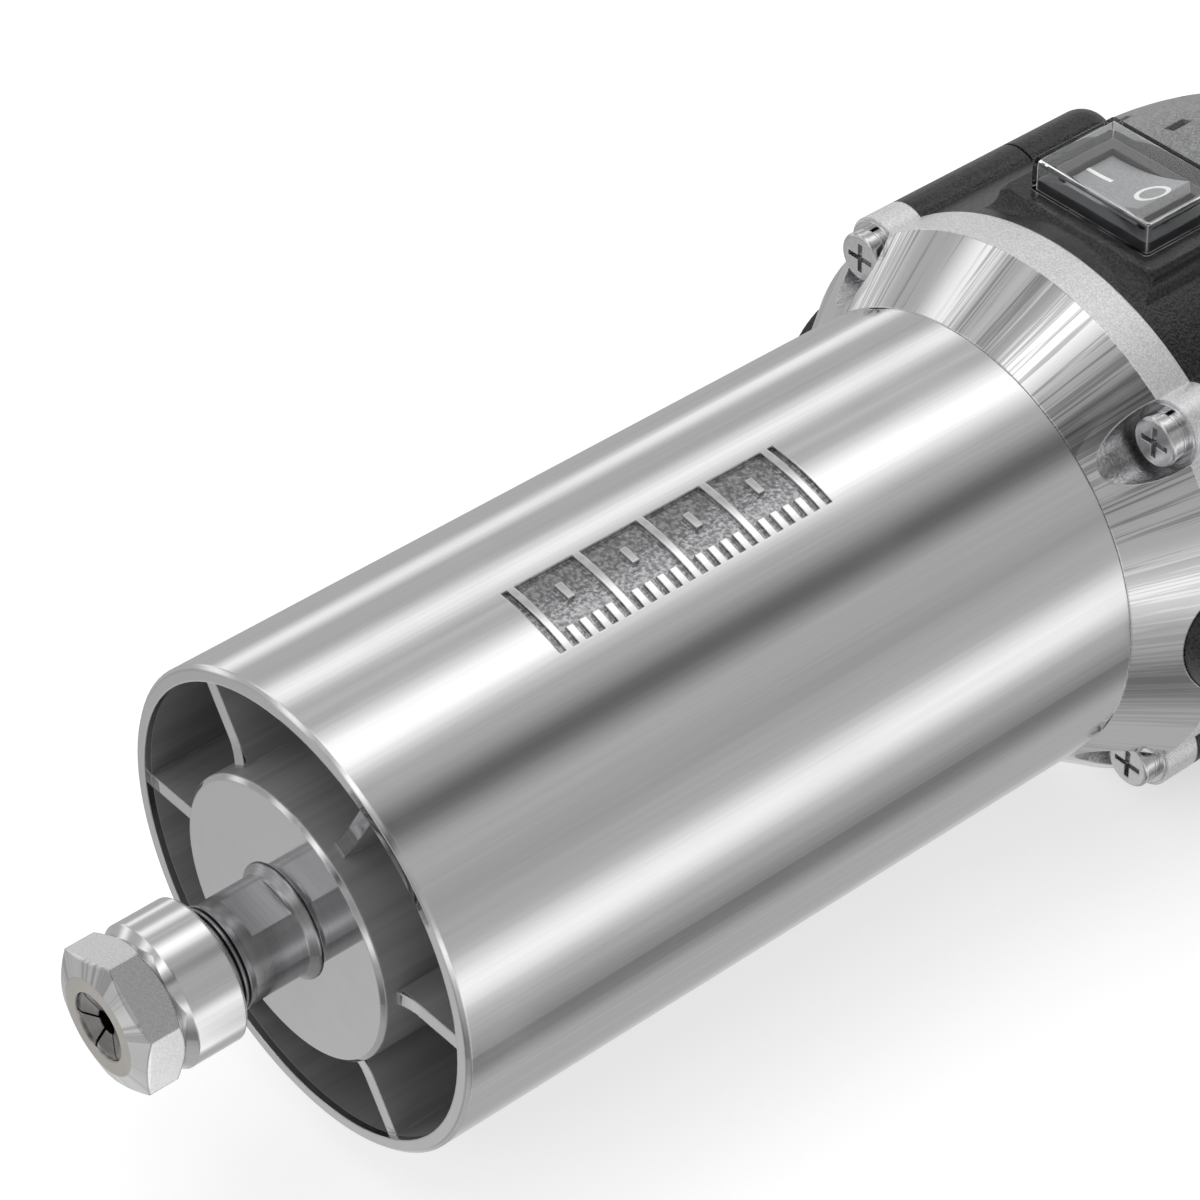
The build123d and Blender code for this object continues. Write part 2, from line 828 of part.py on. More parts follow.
def spindle_shaft():
    """One-piece shaft: collet socket and thread at the nose, journals, and the motor's seat behind."""
    solid = turned(
        [
            (0, thread_front),
            (thread_radius - 0.3, thread_front),
            (thread_radius, thread_front + 0.3),
            (thread_radius, thread_rear),
            (nose_diameter / 2, thread_rear + 0.8),
            (nose_diameter / 2, shoulder_front),
            (shoulder_diameter / 2, shoulder_rear),
            (shaft_radius, shoulder_rear),
            (shaft_radius, hub_rear),
            (motor_shaft_radius, hub_rear + 0.5),
            (motor_shaft_radius, fan_rear + 0.5),
            (tail_radius, fan_rear + 0.5),
            (tail_radius, tail_bearing_rear - 0.5),
            (0, tail_bearing_rear - 0.5),
        ]
    )
    socket = collet_socket()
    rings = []
    for ring in range(thread_rings):
        station = thread_rear - 0.3 - ring * thread_pitch
        rings.append(
            turned(
                [
                    (thread_radius + 0.2, station - thread_pitch * 0.42),
                    (thread_radius - 0.42, station - thread_pitch * 0.1),
                    (thread_radius - 0.42, station + thread_pitch * 0.1),
                    (thread_radius + 0.2, station + thread_pitch * 0.42),
                ]
            )
        )
    flats = []
    for side in (wrench_flat_angle, wrench_flat_angle + 180):
        tool = block(
            wrench_flats / 2,
            wrench_flats,
            flats_rear - wrench_flat_length,
            flats_rear,
            -nose_diameter,
            nose_diameter,
        )
        flats.append(spun(tool, side))
    return cut(solid, [socket] + rings + flats)


def collet_socket():
    """Tapered socket for the collet, with a drilled relief behind it."""
    slope = math.tan(math.radians(collet_taper))
    large_station = collet_front + collet_collar_length + collet_groove_length
    mouth = collet_large_diameter / 2 - (thread_front - large_station) * slope + running_gap
    depth = collet_front + collet_length + 1.0
    small = mouth - (depth - thread_front) * slope
    return turned(
        [
            (0, thread_front - 1.0),
            (mouth + slope, thread_front - 1.0),
            (small, depth),
            (small, depth + 3.0),
            (0, depth + 3.0 + small * 0.6),
        ]
    )


def collet():
    """Spring collet: nose cone, groove and long taper, slit from the front and from the back."""
    slope = math.tan(math.radians(collet_taper))
    nose = collet_nose_diameter / 2
    collar = collet_collar_diameter / 2
    groove = collet_groove_diameter / 2
    collar_end = collet_front + collet_collar_length
    large_station = collar_end + collet_groove_length
    large = collet_large_diameter / 2
    rear = collet_front + collet_length
    small = large - (rear - large_station) * slope
    bore = collet_bore / 2
    nose_cone = (collar - nose) / math.tan(math.radians(30))
    body = turned(
        [
            (bore, collet_front + collet_dish),
            (collet_dish_diameter / 2, collet_front),
            (nose, collet_front),
            (collar, collet_front + nose_cone),
            (collar, collar_end),
            (groove, collar_end),
            (groove, large_station),
            (large, large_station),
            (small, rear - 0.4),
            (small - 0.4, rear),
            (bore, rear),
        ]
    )
    front_slit = block(0, large + 1, collet_front - 1, rear - 3.0, -collet_slot_width / 2, collet_slot_width / 2)
    rear_slit = block(0, large + 1, large_station + 2.0, rear + 1, -collet_slot_width / 2, collet_slot_width / 2)
    step = 360 / collet_slots
    slits = around(front_slit, collet_slots, collet_slot_angle)
    slits += around(rear_slit, collet_slots, collet_slot_angle + step / 2)
    return cut(body, slits)


def collet_nut():
    """Clamping nut: chamfered hexagon in front, round collar behind, lip in the collet's groove."""
    hex_rear = nut_front + nut_hex_length
    hexagon = RegularPolygon(nut_flats / 2, 6, rotation=nut_flat_angle, major_radius=False)
    corner = nut_flats / math.sqrt(3) + 0.05
    chamfered = turned(
        [
            (0, nut_front),
            (nut_face_diameter / 2, nut_front),
            (corner, nut_front + nut_face_chamfer_height),
            (corner, hex_rear - nut_hex_rear_chamfer),
            (nut_flats / 2 - 0.2, hex_rear),
            (0, hex_rear),
        ]
    )
    head = prism(hexagon, nut_front, hex_rear) & chamfered
    collar_radius = nut_collar_diameter / 2
    collar = turned(
        [
            (0, hex_rear - 1.0),
            (nut_flats / 2 - 0.6, hex_rear - 1.0),
            (nut_flats / 2 - 0.6, hex_rear),
            (collar_radius - nut_collar_front_chamfer, hex_rear),
            (collar_radius, hex_rear + nut_collar_front_chamfer),
            (collar_radius, nut_rear - nut_collar_rear_chamfer),
            (collar_radius - nut_collar_rear_chamfer, nut_rear),
            (0, nut_rear),
        ]
    )
    nose = collet_nose_diameter / 2 + seat_gap
    collar_bore = collet_collar_diameter / 2 + seat_gap
    cone_start = nut_front + nut_mouth_wall
    cone_end = collet_front + (collar_bore - nose) / math.tan(math.radians(30))
    collar_end = collet_front + collet_collar_length + seat_gap
    groove_end = collet_front + collet_collar_length + collet_groove_length - seat_gap
    lip = collar_bore - nut_lip
    thread_bore = thread_radius + running_gap
    bore = turned(
        [
            (0, nut_front - 1),
            (nose, nut_front - 1),
            (nose, cone_start - 0.3),
            (collar_bore, cone_end),
            (collar_bore, collar_end),
            (lip, collar_end),
            (lip, groove_end),
            (thread_bore, groove_end),
            (thread_bore, nut_rear + 1),
            (0, nut_rear + 1),
        ]
    )
    return head + collar - bore


def bearing_rings(bore, outer, width, ball, rim, start):
    """Outer ring with its shields and inner ring of one ball bearing, each with its raceway."""
    middle = start + width / 2
    pitch = (bore + outer) / 4
    race = ball / 2 + running_gap
    outer_ring = tube(outer / 2 - rim, outer / 2, start, start + width)
    inner_ring = tube(bore / 2 + press_gap, bore / 2 + rim, start, start + width)
    raceway = revolve(Pos(pitch, middle) * Circle(race), Axis.Y)
    shield_bore = bore / 2 + rim + free_gap
    shields = [
        tube(shield_bore, outer / 2 - rim + 0.2, start + 0.5, start + 0.5 + shield_thickness),
        tube(
            shield_bore,
            outer / 2 - rim + 0.2,
            start + width - 0.5 - shield_thickness,
            start + width - 0.5,
        ),
    ]
    return fuse([outer_ring - raceway] + shields), inner_ring - raceway


def ball_set(bore, outer, width, ball, start):
    """Balls of one bearing."""
    pitch = (bore + outer) / 4
    one = Pos(pitch, start + width / 2, 0) * Sphere(ball / 2)
    return around(one, bearing_balls)


def circlip():
    """Internal circlip behind the middle bearing, open at the top with two eyes."""
    start = mid_circlip + seat_gap / 2
    end = start + circlip_thickness
    outer = bearing_seat + circlip_groove - seat_gap
    ring = tube(bearing_seat - 1.8, outer, start, end)
    eyes = [rod(2.1, start, end, x, z) for x, z in (on_circle(bearing_seat - 2.2, a) for a in (75, 105))]
    ring = fuse([ring] + eyes)
    gap = prism(ring_sector(5, 25, 80, 100), start - 1, end + 1)
    holes = [rod(0.8, start - 1, end + 1, x, z) for x, z in (on_circle(bearing_seat - 2.4, a) for a in (75, 105))]
    return cut(ring, [gap] + holes)


def bearing_spacer():
    """Tube between the front bearing pair and the middle bearing."""
    outer = bearing_seat - seat_gap / 2
    return tube(outer - spacer_wall, outer, bearing_pair_rear, mid_bearing_front - wave_spring_height)


def wave_spring():
    """Wavy washer that preloads the bearings."""
    outer = bearing_seat - seat_gap
    inner = outer - 2.0
    middle = mid_bearing_front - wave_spring_height / 2
    swing = (wave_spring_height - wave_spring_thickness) / 2 - running_gap
    sections = []
    steps = 4 * waves
    for step in range(steps + 1):
        turn = 2 * math.pi * step / steps
        lift = swing * math.sin(waves * turn)
        sections.append((turn, lift))
    pieces = []
    for (turn_a, lift_a), (turn_b, lift_b) in zip(sections[:-1], sections[1:]):
        ends = []
        for turn, lift in ((turn_a, lift_a), (turn_b, lift_b)):
            plane = Plane(
                origin=(0, middle + lift, 0),
                x_dir=(math.cos(turn), 0, math.sin(turn)),
                z_dir=(-math.sin(turn), 0, math.cos(turn)),
            )
            ends.append(plane * Pos((inner + outer) / 2, 0) * Rectangle(outer - inner, wave_spring_thickness))
        pieces.append(loft(ends, ruled=True))
    return fuse(pieces)


def commutator():
    """Commutator: insulating hub and copper bars with risers."""
    radius = commutator_diameter / 2
    bar_root = radius - commutator_bar_depth
    hub = tube(motor_shaft_radius + press_gap, bar_root - press_gap, commutator_front + 1, commutator_rear)
    half = 180 / commutator_bars - math.degrees(commutator_gap / 2 / radius)
    bar = prism(ring_sector(bar_root, radius, -half, half), commutator_front, commutator_rear)
    riser_front = commutator_rear - riser_length
    riser = prism(ring_sector(radius - 0.5, radius + riser_height, -half, half), riser_front, commutator_rear)
    return hub, group(around(bar + riser, commutator_bars))


def armature_slot(radius, mouth):
    """Section of one winding slot at +X, round inside and open to the rim."""
    pitch = armature_slot_circle / 2
    rim = armature_diameter / 2 + 1
    return Pos(pitch, 0) * Circle(radius) + Pos((pitch + rim) / 2, 0) * Rectangle(rim - pitch, mouth)


def armature():
    """Slotted lamination stack and its windings with end turns."""
    core = Circle(armature_diameter / 2) - Circle(motor_shaft_radius + press_gap)
    section = armature_slot(armature_slot_diameter / 2, armature_slot_mouth)
    for step in range(armature_slots):
        core -= Rot(0, 0, 360 * step / armature_slots) * section
    stack = prism(core, stack_front, stack_rear)
    wire = prism(
        Pos(armature_slot_circle / 2, 0) * Circle(armature_slot_diameter / 2 - seat_gap),
        stack_front - 1,
        stack_rear + 1,
    )
    outer = (armature_slot_circle + armature_slot_diameter + air_gap) / 2
    inner = motor_shaft_radius + 1.0
    turns = []
    for start, direction in ((stack_front, -1), (stack_rear, 1)):
        near = start + direction * seat_gap
        far = start + direction * end_turn_length
        bend = start + direction * end_turn_length * 0.55
        turns.append(turned([(inner, near), (outer, near), (outer, bend), (outer - 3.0, far), (inner, far)]))
    return stack, fuse(turns + around(wire, armature_slots))


def field_core():
    """Lamination stack of the stator: round yoke and two pole shoes, above and below the armature."""
    outer = field_diameter / 2
    bore = armature_diameter / 2 + air_gap
    yoke = Circle(outer) - Circle(outer - field_yoke)
    section = yoke
    for middle in (90, 270):
        shoe = ring_sector(bore, bore + pole_shoe, middle - pole_half_angle, middle + pole_half_angle)
        reach = outer - field_yoke / 2
        side = 1 if middle == 90 else -1
        neck = Pos(0, side * (bore + reach) / 2) * Rectangle(pole_neck, reach - bore) - Circle(bore)
        section = section + shoe + neck
    for x, z in post_points():
        section -= Pos(x, z) * Circle(cap_head_bore + cap_boss_wall + free_gap)
    return prism(section, stack_front, stack_rear)


def field_windings():
    """Two coils, each wound round one pole neck."""
    outer = field_diameter / 2 - field_yoke - coil_clearance
    inner = armature_diameter / 2 + air_gap + pole_shoe + coil_clearance
    half_neck = pole_neck / 2 + coil_clearance
    front = stack_front - coil_clearance
    rear = stack_rear + coil_clearance
    middle = (front + rear) / 2
    frame = RectangleRounded(2 * (half_neck + coil_width), rear - front + 2 * coil_width, 4.0)
    window = Rectangle(2 * half_neck, rear - front)
    loop = extrude(Plane.XY * Pos(0, middle) * (frame - window), amount=outer + 1)
    band = tube(inner, outer, front - coil_width - 1, rear + coil_width + 1)
    coil = loop & band
    return group([coil, mirror(coil, Plane.XY)])


def cooling_fan():
    """Fan with a disc and swept blades that stand out of it."""
    radius = fan_diameter / 2
    hub = tube(motor_shaft_radius + press_gap, fan_hub_diameter / 2, fan_front, fan_rear)
    disc = tube(fan_hub_diameter / 2 - 0.5, radius, fan_front, fan_front + fan_disc)
    start = on_circle(fan_hub_diameter / 2 - 0.4, 0)
    end = on_circle(radius - 0.3, -fan_blade_sweep)
    inner_start = on_circle(fan_hub_diameter / 2 - 0.4, 360 * fan_blade_thickness / (math.pi * fan_hub_diameter))
    inner_end = on_circle(radius - 0.3, -fan_blade_sweep + 360 * fan_blade_thickness / (math.pi * fan_diameter))
    blade = make_face(
        [
            RadiusArc(start, end, radius),
            Line(end, inner_end),
            RadiusArc(inner_start, inner_end, radius),
            Line(inner_start, start),
        ]
    )
    one = prism(blade, fan_front + fan_disc / 2, fan_rear)
    return fuse([hub, disc] + around(one, fan_blades))


def brush_parts(side):
    """Holder, carbon brush, spring and cap on one side of the commutator."""
    contact = commutator_diameter / 2 + brush_gap
    shelf = brush_cap_face - brush_cap_length
    w = brush_width / 2
    h = brush_height / 2
    wall = brush_holder_wall
    y = brush_station
    inner_end = contact + 1.0
    outer_end = shelf - 0.2
    holder = block(inner_end, outer_end, y - h - wall, y + h + wall, -w - wall, w + wall)
    holder -= block(inner_end - 1, outer_end + 1, y - h, y + h, -w, w)
    brush = block(
        contact - 2,
        contact + brush_length,
        y - h + running_gap,
        y + h - running_gap,
        -w + running_gap,
        w - running_gap,
    )
    brush -= rod(contact, y - h - 1, y + h + 1)
    start = contact + brush_length + brush_spring_wire / 2
    length = shelf - start - brush_spring_wire / 2
    path = Helix(length / brush_spring_turns, length, brush_spring_diameter / 2)
    wire = sweep(Plane(origin=path @ 0, z_dir=path % 0) * Circle(brush_spring_wire / 2), path=path)
    spring = Pos(start, y, 0) * (Rot(0, 90, 0) * wire)
    cap = cross_rod(brush_cap_diameter / 2, shelf, brush_cap_face - 0.4, y)
    cap = chamfer(cap.edges().group_by(Axis.X)[-1], 0.5)
    slot_reach = brush_cap_diameter / 2
    cap -= block(
        brush_cap_face - 0.4 - brush_cap_slot_depth,
        brush_cap_face + 1,
        y - slot_reach,
        y + slot_reach,
        -brush_cap_slot_width / 2,
        brush_cap_slot_width / 2,
    )
    parts = [holder, brush, spring, cap]
    if side < 0:
        parts = [Pos(0, y, 0) * (Rot(0, 0, 180) * (Pos(0, -y, 0) * part)) for part in parts]
    return parts


def switch_body():
    """Switch box let into the pedestal, with its bezel and the rocker's well."""
    half_l = switch_body_length / 2
    half_w = switch_body_width / 2
    y = switch_centre
    body = block(
        -half_l,
        half_l,
        y - half_w,
        y + half_w,
        pedestal_top - switch_body_depth,
        pedestal_top,
    )
    rim_l = cover_length / 2 - cover_wall - seat_gap
    rim_w = cover_width / 2 - cover_wall - seat_gap
    bezel = block(-rim_l, rim_l, y - rim_w, y + rim_w, pedestal_top, pedestal_top + bezel_height)
    lean = math.radians(rocker_tilt)
    reach = rocker_length / 2 * math.cos(lean) + (rocker_crown + rocker_dip) * math.sin(lean)
    well_l = reach + free_gap
    well_w = rocker_width / 2 + free_gap
    floor = rocker_pivot_height - rocker_pin_diameter - 1.6
    well = block(-well_l, well_l, y - well_w, y + well_w, floor, pedestal_top + bezel_height + 1)
    pin = Plane.XZ.offset(-(y - half_w + 0.5)) * Pos(0, rocker_pivot_height) * Circle(rocker_pin_diameter / 2)
    pin_bar = extrude(pin, amount=-(switch_body_width - 1.0))
    return body + bezel - well + pin_bar


def rocker_section():
    """Rocker seen from the collet end, level: two raised tips and a hollow between them."""
    half = rocker_length / 2
    hollow = rocker_pivot_height + rocker_crown
    tip = hollow + rocker_dip
    edge = tip - rocker_end_height
    root = rocker_pivot_height - rocker_pin_diameter / 2 - 0.8
    foot = rocker_root_width / 2
    edges = [
        ThreePointArc((-half, tip), (0, hollow), (half, tip)),
        Polyline((half, tip), (half, edge), (foot, root), (-foot, root), (-half, edge), (-half, tip)),
    ]
    return make_face(edges)


def switch_rocker():
    """Rocker on the switch's pin, resting with its left end pressed."""
    half_w = rocker_width / 2
    level = prism(rocker_section(), switch_centre - half_w, switch_centre + half_w)
    level -= rod(
        rocker_pin_diameter / 2 + running_gap,
        switch_centre - half_w - 1,
        switch_centre + half_w + 1,
        0,
        rocker_pivot_height,
    )
    tilted = Rot(0, -rocker_tilt, 0) * (Pos(0, 0, -rocker_pivot_height) * level)
    return Pos(0, 0, rocker_pivot_height) * tilted


def switch_cover():
    """Clear box-shaped cover snapped over the switch."""
    y = switch_centre
    half_l = cover_length / 2
    half_w = cover_width / 2
    outer = block(-half_l, half_l, y - half_w, y + half_w, pedestal_top, pedestal_top + cover_height)
    outer = fillet(outer.edges().filter_by(Axis.Z) + outer.edges().group_by(Axis.Z)[-1], cover_round)
    wall = cover_wall
    return outer - block(
        -half_l + wall,
        half_l - wall,
        y - half_w + wall,
        y + half_w - wall,
        pedestal_top - 1,
        pedestal_top + cover_height - wall,
    )


def switch_terminals():
    """Two blade terminals below the switch box."""
    top = pedestal_top - switch_body_depth
    blades = []
    for x in (-terminal_pitch / 2, terminal_pitch / 2):
        blade = block(
            x - terminal_thickness / 2,
            x + terminal_thickness / 2,
            switch_centre - terminal_width / 2,
            switch_centre + terminal_width / 2,
            top - terminal_length,
            top,
        )
        hole = cross_rod(0.8, x - 2, x + 2, switch_centre, top - terminal_length + 2)
        blades.append(blade - hole)
    return group(blades)


os.makedirs("parts", exist_ok=True)

save(barrel_housing(), "barrel_housing")
save(motor_flange(), "motor_flange")
save(motor_housing(), "motor_housing")
save(end_cap(), "end_cap")
save(end_cap_screws(), "end_cap_screws")
save(flange_screws(), "flange_screws")
save(spring_washers(), "spring_washers")
save(flat_washers(), "flat_washers")
save(cord_gland(), "cord_gland")
save(gland_nut(), "gland_nut")
save(gland_seal(), "gland_seal")

save(spindle_shaft(), "spindle_shaft")
save(collet(), "collet")
save(collet_nut(), "collet_nut")

starts = (bearing_front, bearing_front + bearing_width, mid_bearing_front)
main_rings = [
    bearing_rings(shaft_diameter, bearing_outer, bearing_width, bearing_ball, bearing_rim, start)
    for start in starts
]
tail_rings = bearing_rings(
    tail_diameter,
    tail_bearing_outer,
    tail_bearing_width,
    tail_bearing_ball,
    tail_bearing_rim,
    tail_bearing_front,
)
save(group([rings[0] for rings in main_rings]), "spindle_bearing_outer_rings")
save(group([rings[1] for rings in main_rings]), "spindle_bearing_inner_rings")
save(
    group(
        [
            ball
            for start in starts
            for ball in ball_set(shaft_diameter, bearing_outer, bearing_width, bearing_ball, start)
        ]
    ),
    "spindle_bearing_balls",
)
save(tail_rings[0], "tail_bearing_outer_ring")
save(tail_rings[1], "tail_bearing_inner_ring")
save(
    group(
        ball_set(
            tail_diameter,
            tail_bearing_outer,
            tail_bearing_width,
            tail_bearing_ball,
            tail_bearing_front,
        )
    ),
    "tail_bearing_balls",
)
save(bearing_spacer(), "bearing_spacer")
save(wave_spring(), "wave_spring")
save(circlip(), "bearing_circlip")

commutator_hub, commutator_bars_group = commutator()
save(commutator_hub, "commutator_hub")
save(commutator_bars_group, "commutator_bars")
armature_stack, armature_coils = armature()
save(armature_stack, "armature_core")
save(armature_coils, "armature_windings")
save(field_core(), "field_core")
save(field_windings(), "field_windings")
save(cooling_fan(), "cooling_fan")

brush_sides = [brush_parts(side) for side in (-1, 1)]
for index, node in enumerate(("brush_holders", "carbon_brushes", "brush_springs", "brush_caps")):
    save(group([side[index] for side in brush_sides]), node)

save(switch_body(), "switch_body")
save(switch_rocker(), "switch_rocker")
save(switch_cover(), "switch_cover")
save(switch_terminals(), "switch_terminals")
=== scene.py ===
"""Looks of a motor spindle: finishes, marks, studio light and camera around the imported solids."""

import logging
import math
from dataclasses import dataclass, field
from enum import Enum

import bmesh
import bpy
from mathutils import Matrix, Vector


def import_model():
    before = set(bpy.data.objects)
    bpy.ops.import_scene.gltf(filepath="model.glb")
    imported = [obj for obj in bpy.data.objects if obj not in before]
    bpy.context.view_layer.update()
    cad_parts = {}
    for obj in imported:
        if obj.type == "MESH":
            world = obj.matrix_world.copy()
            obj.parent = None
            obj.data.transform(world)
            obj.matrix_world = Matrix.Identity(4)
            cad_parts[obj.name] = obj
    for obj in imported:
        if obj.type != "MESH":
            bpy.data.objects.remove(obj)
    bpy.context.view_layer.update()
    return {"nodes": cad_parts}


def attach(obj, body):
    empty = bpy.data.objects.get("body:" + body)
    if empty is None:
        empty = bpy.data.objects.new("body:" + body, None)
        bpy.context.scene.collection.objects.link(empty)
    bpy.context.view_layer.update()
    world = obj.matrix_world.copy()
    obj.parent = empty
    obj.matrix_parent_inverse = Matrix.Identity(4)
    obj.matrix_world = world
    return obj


LOG = logging.getLogger("motor_spindle")
MM = 0.001
MARK_HEIGHT = 0.1 * MM
EDGE_SAMPLES = 6
RECESS_SAMPLES = 4
# Near-black colour of the painted shade in grooves and recesses
PAINTED_SHADE_COLOUR = (0.02, 0.02, 0.02)

# Places of a Mix node's inputs A and B, and of its output, for colours and for numbers
MIX_COLOUR_SOCKETS = (6, 7, 2)
MIX_NUMBER_SOCKETS = (2, 3, 0)


class Body(Enum):
    """Rigid bodies of the frame that new pieces ride on."""

    ROCKER = "rocker"


class Texture(Enum):
    """Textures that a surface can have from its making."""

    GRAIN = "grain"
    ALONG = "along"
    TURNED = "turned"
    SPOKES = "spokes"


MARK_RUN: dict[Texture, tuple[float, float, float]] = {
    Texture.ALONG: (90.0, 1.0, 90.0),
    Texture.TURNED: (14.0, 900.0, 14.0),
}

Socket = bpy.types.NodeSocket


@dataclass
class Sheet:
    """A node tree under construction, with short calls for the nodes that finishes need."""

    tree: bpy.types.NodeTree
    kept: dict[str, Socket] = field(default_factory=dict)

    def node(self, kind: str, **values: object) -> bpy.types.Node:
        """Add a node.

        Args:
            kind: Blender's name of the node type.
            **values: Properties of the node, such as operation.

        Returns:
            The new node.
        """
        made = self.tree.nodes.new(kind)
        for name, value in values.items():
            setattr(made, name, value)
        return made

    def feed(self, socket: Socket, value: object) -> None:
        """Link a socket to an input, or set the input's own value.

        Args:
            socket: The input to fill.
            value: An output socket, a number, or a tuple of numbers.
        """
        if isinstance(value, bpy.types.NodeSocket):
            self.tree.links.new(value, socket)
        else:
            socket.default_value = value

    def math(self, operation: str, *values: object, clamp: bool = False) -> Socket:
        """Add a Math node.

        Args:
            operation: The Math node's operation.
            *values: Its inputs, sockets or numbers.
            clamp: Whether the result is kept from 0 to 1.

        Returns:
            The result's socket.
        """
        made = self.node("ShaderNodeMath", operation=operation, use_clamp=clamp)
        for socket, value in zip(made.inputs, values):
            self.feed(socket, value)
        return made.outputs[0]

    def weighed(self, first: Socket, share: float, second: Socket, rest: float) -> Socket:
        """Add two values, each with its own weight.

        Args:
            first: The first value.
            share: The first value's weight.
            second: The second value.
            rest: The second value's weight.

        Returns:
            The sum's socket.
        """
        return self.math("ADD", self.math("MULTIPLY", first, share), self.math("MULTIPLY", second, rest))

    def noise(self, place: object, scale: object, detail: float) -> Socket:
        """Add a noise texture.

        Args:
            place: Socket of the coordinates.
            scale: Noise scale per metre.
            detail: Number of octaves.

        Returns:
            The noise's value socket.
        """
        made = self.node("ShaderNodeTexNoise")
        self.feed(made.inputs["Vector"], place)
        self.feed(made.inputs["Scale"], scale)
        self.feed(made.inputs["Detail"], detail)
        return made.outputs[0]

    def step(self, value: object, start: float, end: float) -> Socket:
        """Smooth mask that goes from 0 at start to 1 at end.

        Args:
            value: The socket that is tested.
            start: Value where the mask is 0.
            end: Value where the mask is 1.

        Returns:
            The mask's socket.
        """
        made = self.node("ShaderNodeMapRange", interpolation_type="SMOOTHSTEP")
        self.feed(made.inputs["Value"], value)
        self.feed(made.inputs["From Min"], start)
        self.feed(made.inputs["From Max"], end)
        return made.outputs[0]

    def blend(self, factor: object, low: object, high: object) -> Socket:
        """Mix two colours.

        Args:
            factor: Share of the second colour.
            low: First colour, a socket or an RGB tuple.
            high: Second colour, a socket or an RGB tuple.

        Returns:
            The mixed colour's socket.
        """
        first, second, result = MIX_COLOUR_SOCKETS
        made = self.node("ShaderNodeMix", data_type="RGBA")
        self.feed(made.inputs[0], factor)
        self.feed(made.inputs[first], _rgba(low))
        self.feed(made.inputs[second], _rgba(high))
        return made.outputs[result]

    def between(self, factor: object, low: object, high: object) -> Socket:
        """Mix two numbers.

        Args:
            factor: Share of the second number.
            low: First number or socket.
            high: Second number or socket.

        Returns:
            The mixed number's socket.
        """
        first, second, result = MIX_NUMBER_SOCKETS
        made = self.node("ShaderNodeMix", data_type="FLOAT")
        self.feed(made.inputs[0], factor)
        self.feed(made.inputs[first], low)
        self.feed(made.inputs[second], high)
        return made.outputs[result]

    def place(self) -> Socket:
        """Coordinates in the object's own frame, in metres."""
        if "place" not in self.kept:
            self.kept["place"] = self.node("ShaderNodeTexCoord").outputs["Object"]
        return self.kept["place"]

    def axis(self, name: str) -> Socket:
        """One coordinate of the surface point, X, Y or Z, in metres."""
        if name not in self.kept:
            made = self.node("ShaderNodeSeparateXYZ")
            self.feed(made.inputs[0], self.place())
            for letter in "XYZ":
                self.kept[letter] = made.outputs[letter]
        return self.kept[name]

    def radius(self) -> Socket:
        """Distance of the surface point from the spindle axis, in metres."""
        if "radius" not in self.kept:
            x = self.axis("X")
            z = self.axis("Z")
            squares = self.math("ADD", self.math("MULTIPLY", x, x), self.math("MULTIPLY", z, z))
            self.kept["radius"] = self.math("SQRT", squares)
        return self.kept["radius"]

    def group(self, tree: bpy.types.NodeTree, **values: object) -> bpy.types.Node:
        """Place a node group and fill its inputs.

        Args:
            tree: The group's tree.
            **values: Input names, with underscores for spaces, and their values.

        Returns:
            The group node.
        """
        made = self.node("ShaderNodeGroup", node_tree=tree)
        for name, value in values.items():
            self.feed(made.inputs[name.replace("_", " ")], value)
        return made


def _rgba(value: object) -> object:
    """Give a three-number colour its alpha, and pass on anything else."""
    if isinstance(value, tuple) and len(value) == 3:
        return (*value, 1.0)
    return value


def _start_group(name: str, inputs: dict[str, tuple[str, object]], outputs: dict[str, str]) -> Sheet:
    """Make a shader node group with its sockets.

    Args:
        name: The group's name.
        inputs: Input names with their kind and default.
        outputs: Output names with their kind.

    Returns:
        A sheet on the group's tree.
    """
    tree = bpy.data.node_groups.new(name, "ShaderNodeTree")
    for label, (kind, default) in inputs.items():
        socket = tree.interface.new_socket(label, in_out="INPUT", socket_type=kind)
        socket.default_value = default
    for label, kind in outputs.items():
        tree.interface.new_socket(label, in_out="OUTPUT", socket_type=kind)
    return Sheet(tree)


def _start_material(name: str) -> tuple[bpy.types.Material, Sheet, bpy.types.Node]:
    """Make a material with its shader.

    Args:
        name: The material's name.

    Returns:
        The material, a sheet on its tree, and its Principled BSDF.
    """
    material = bpy.data.materials.new(name)
    material.use_nodes = True
    sheet = Sheet(material.node_tree)
    return material, sheet, sheet.tree.nodes["Principled BSDF"]


def _add_to_scene(name: str, data: bpy.types.ID) -> bpy.types.Object:
    """Make an object and put it in the scene.

    Args:
        name: The object's name.
        data: Its mesh, camera or light.

    Returns:
        The new object.
    """
    made = bpy.data.objects.new(name, data)
    bpy.context.scene.collection.objects.link(made)
    return made


NUMBER = "NodeSocketFloat"
VECTOR = "NodeSocketVector"
HEIGHT_AND_TONE = {"Height": NUMBER, "Tone": NUMBER}


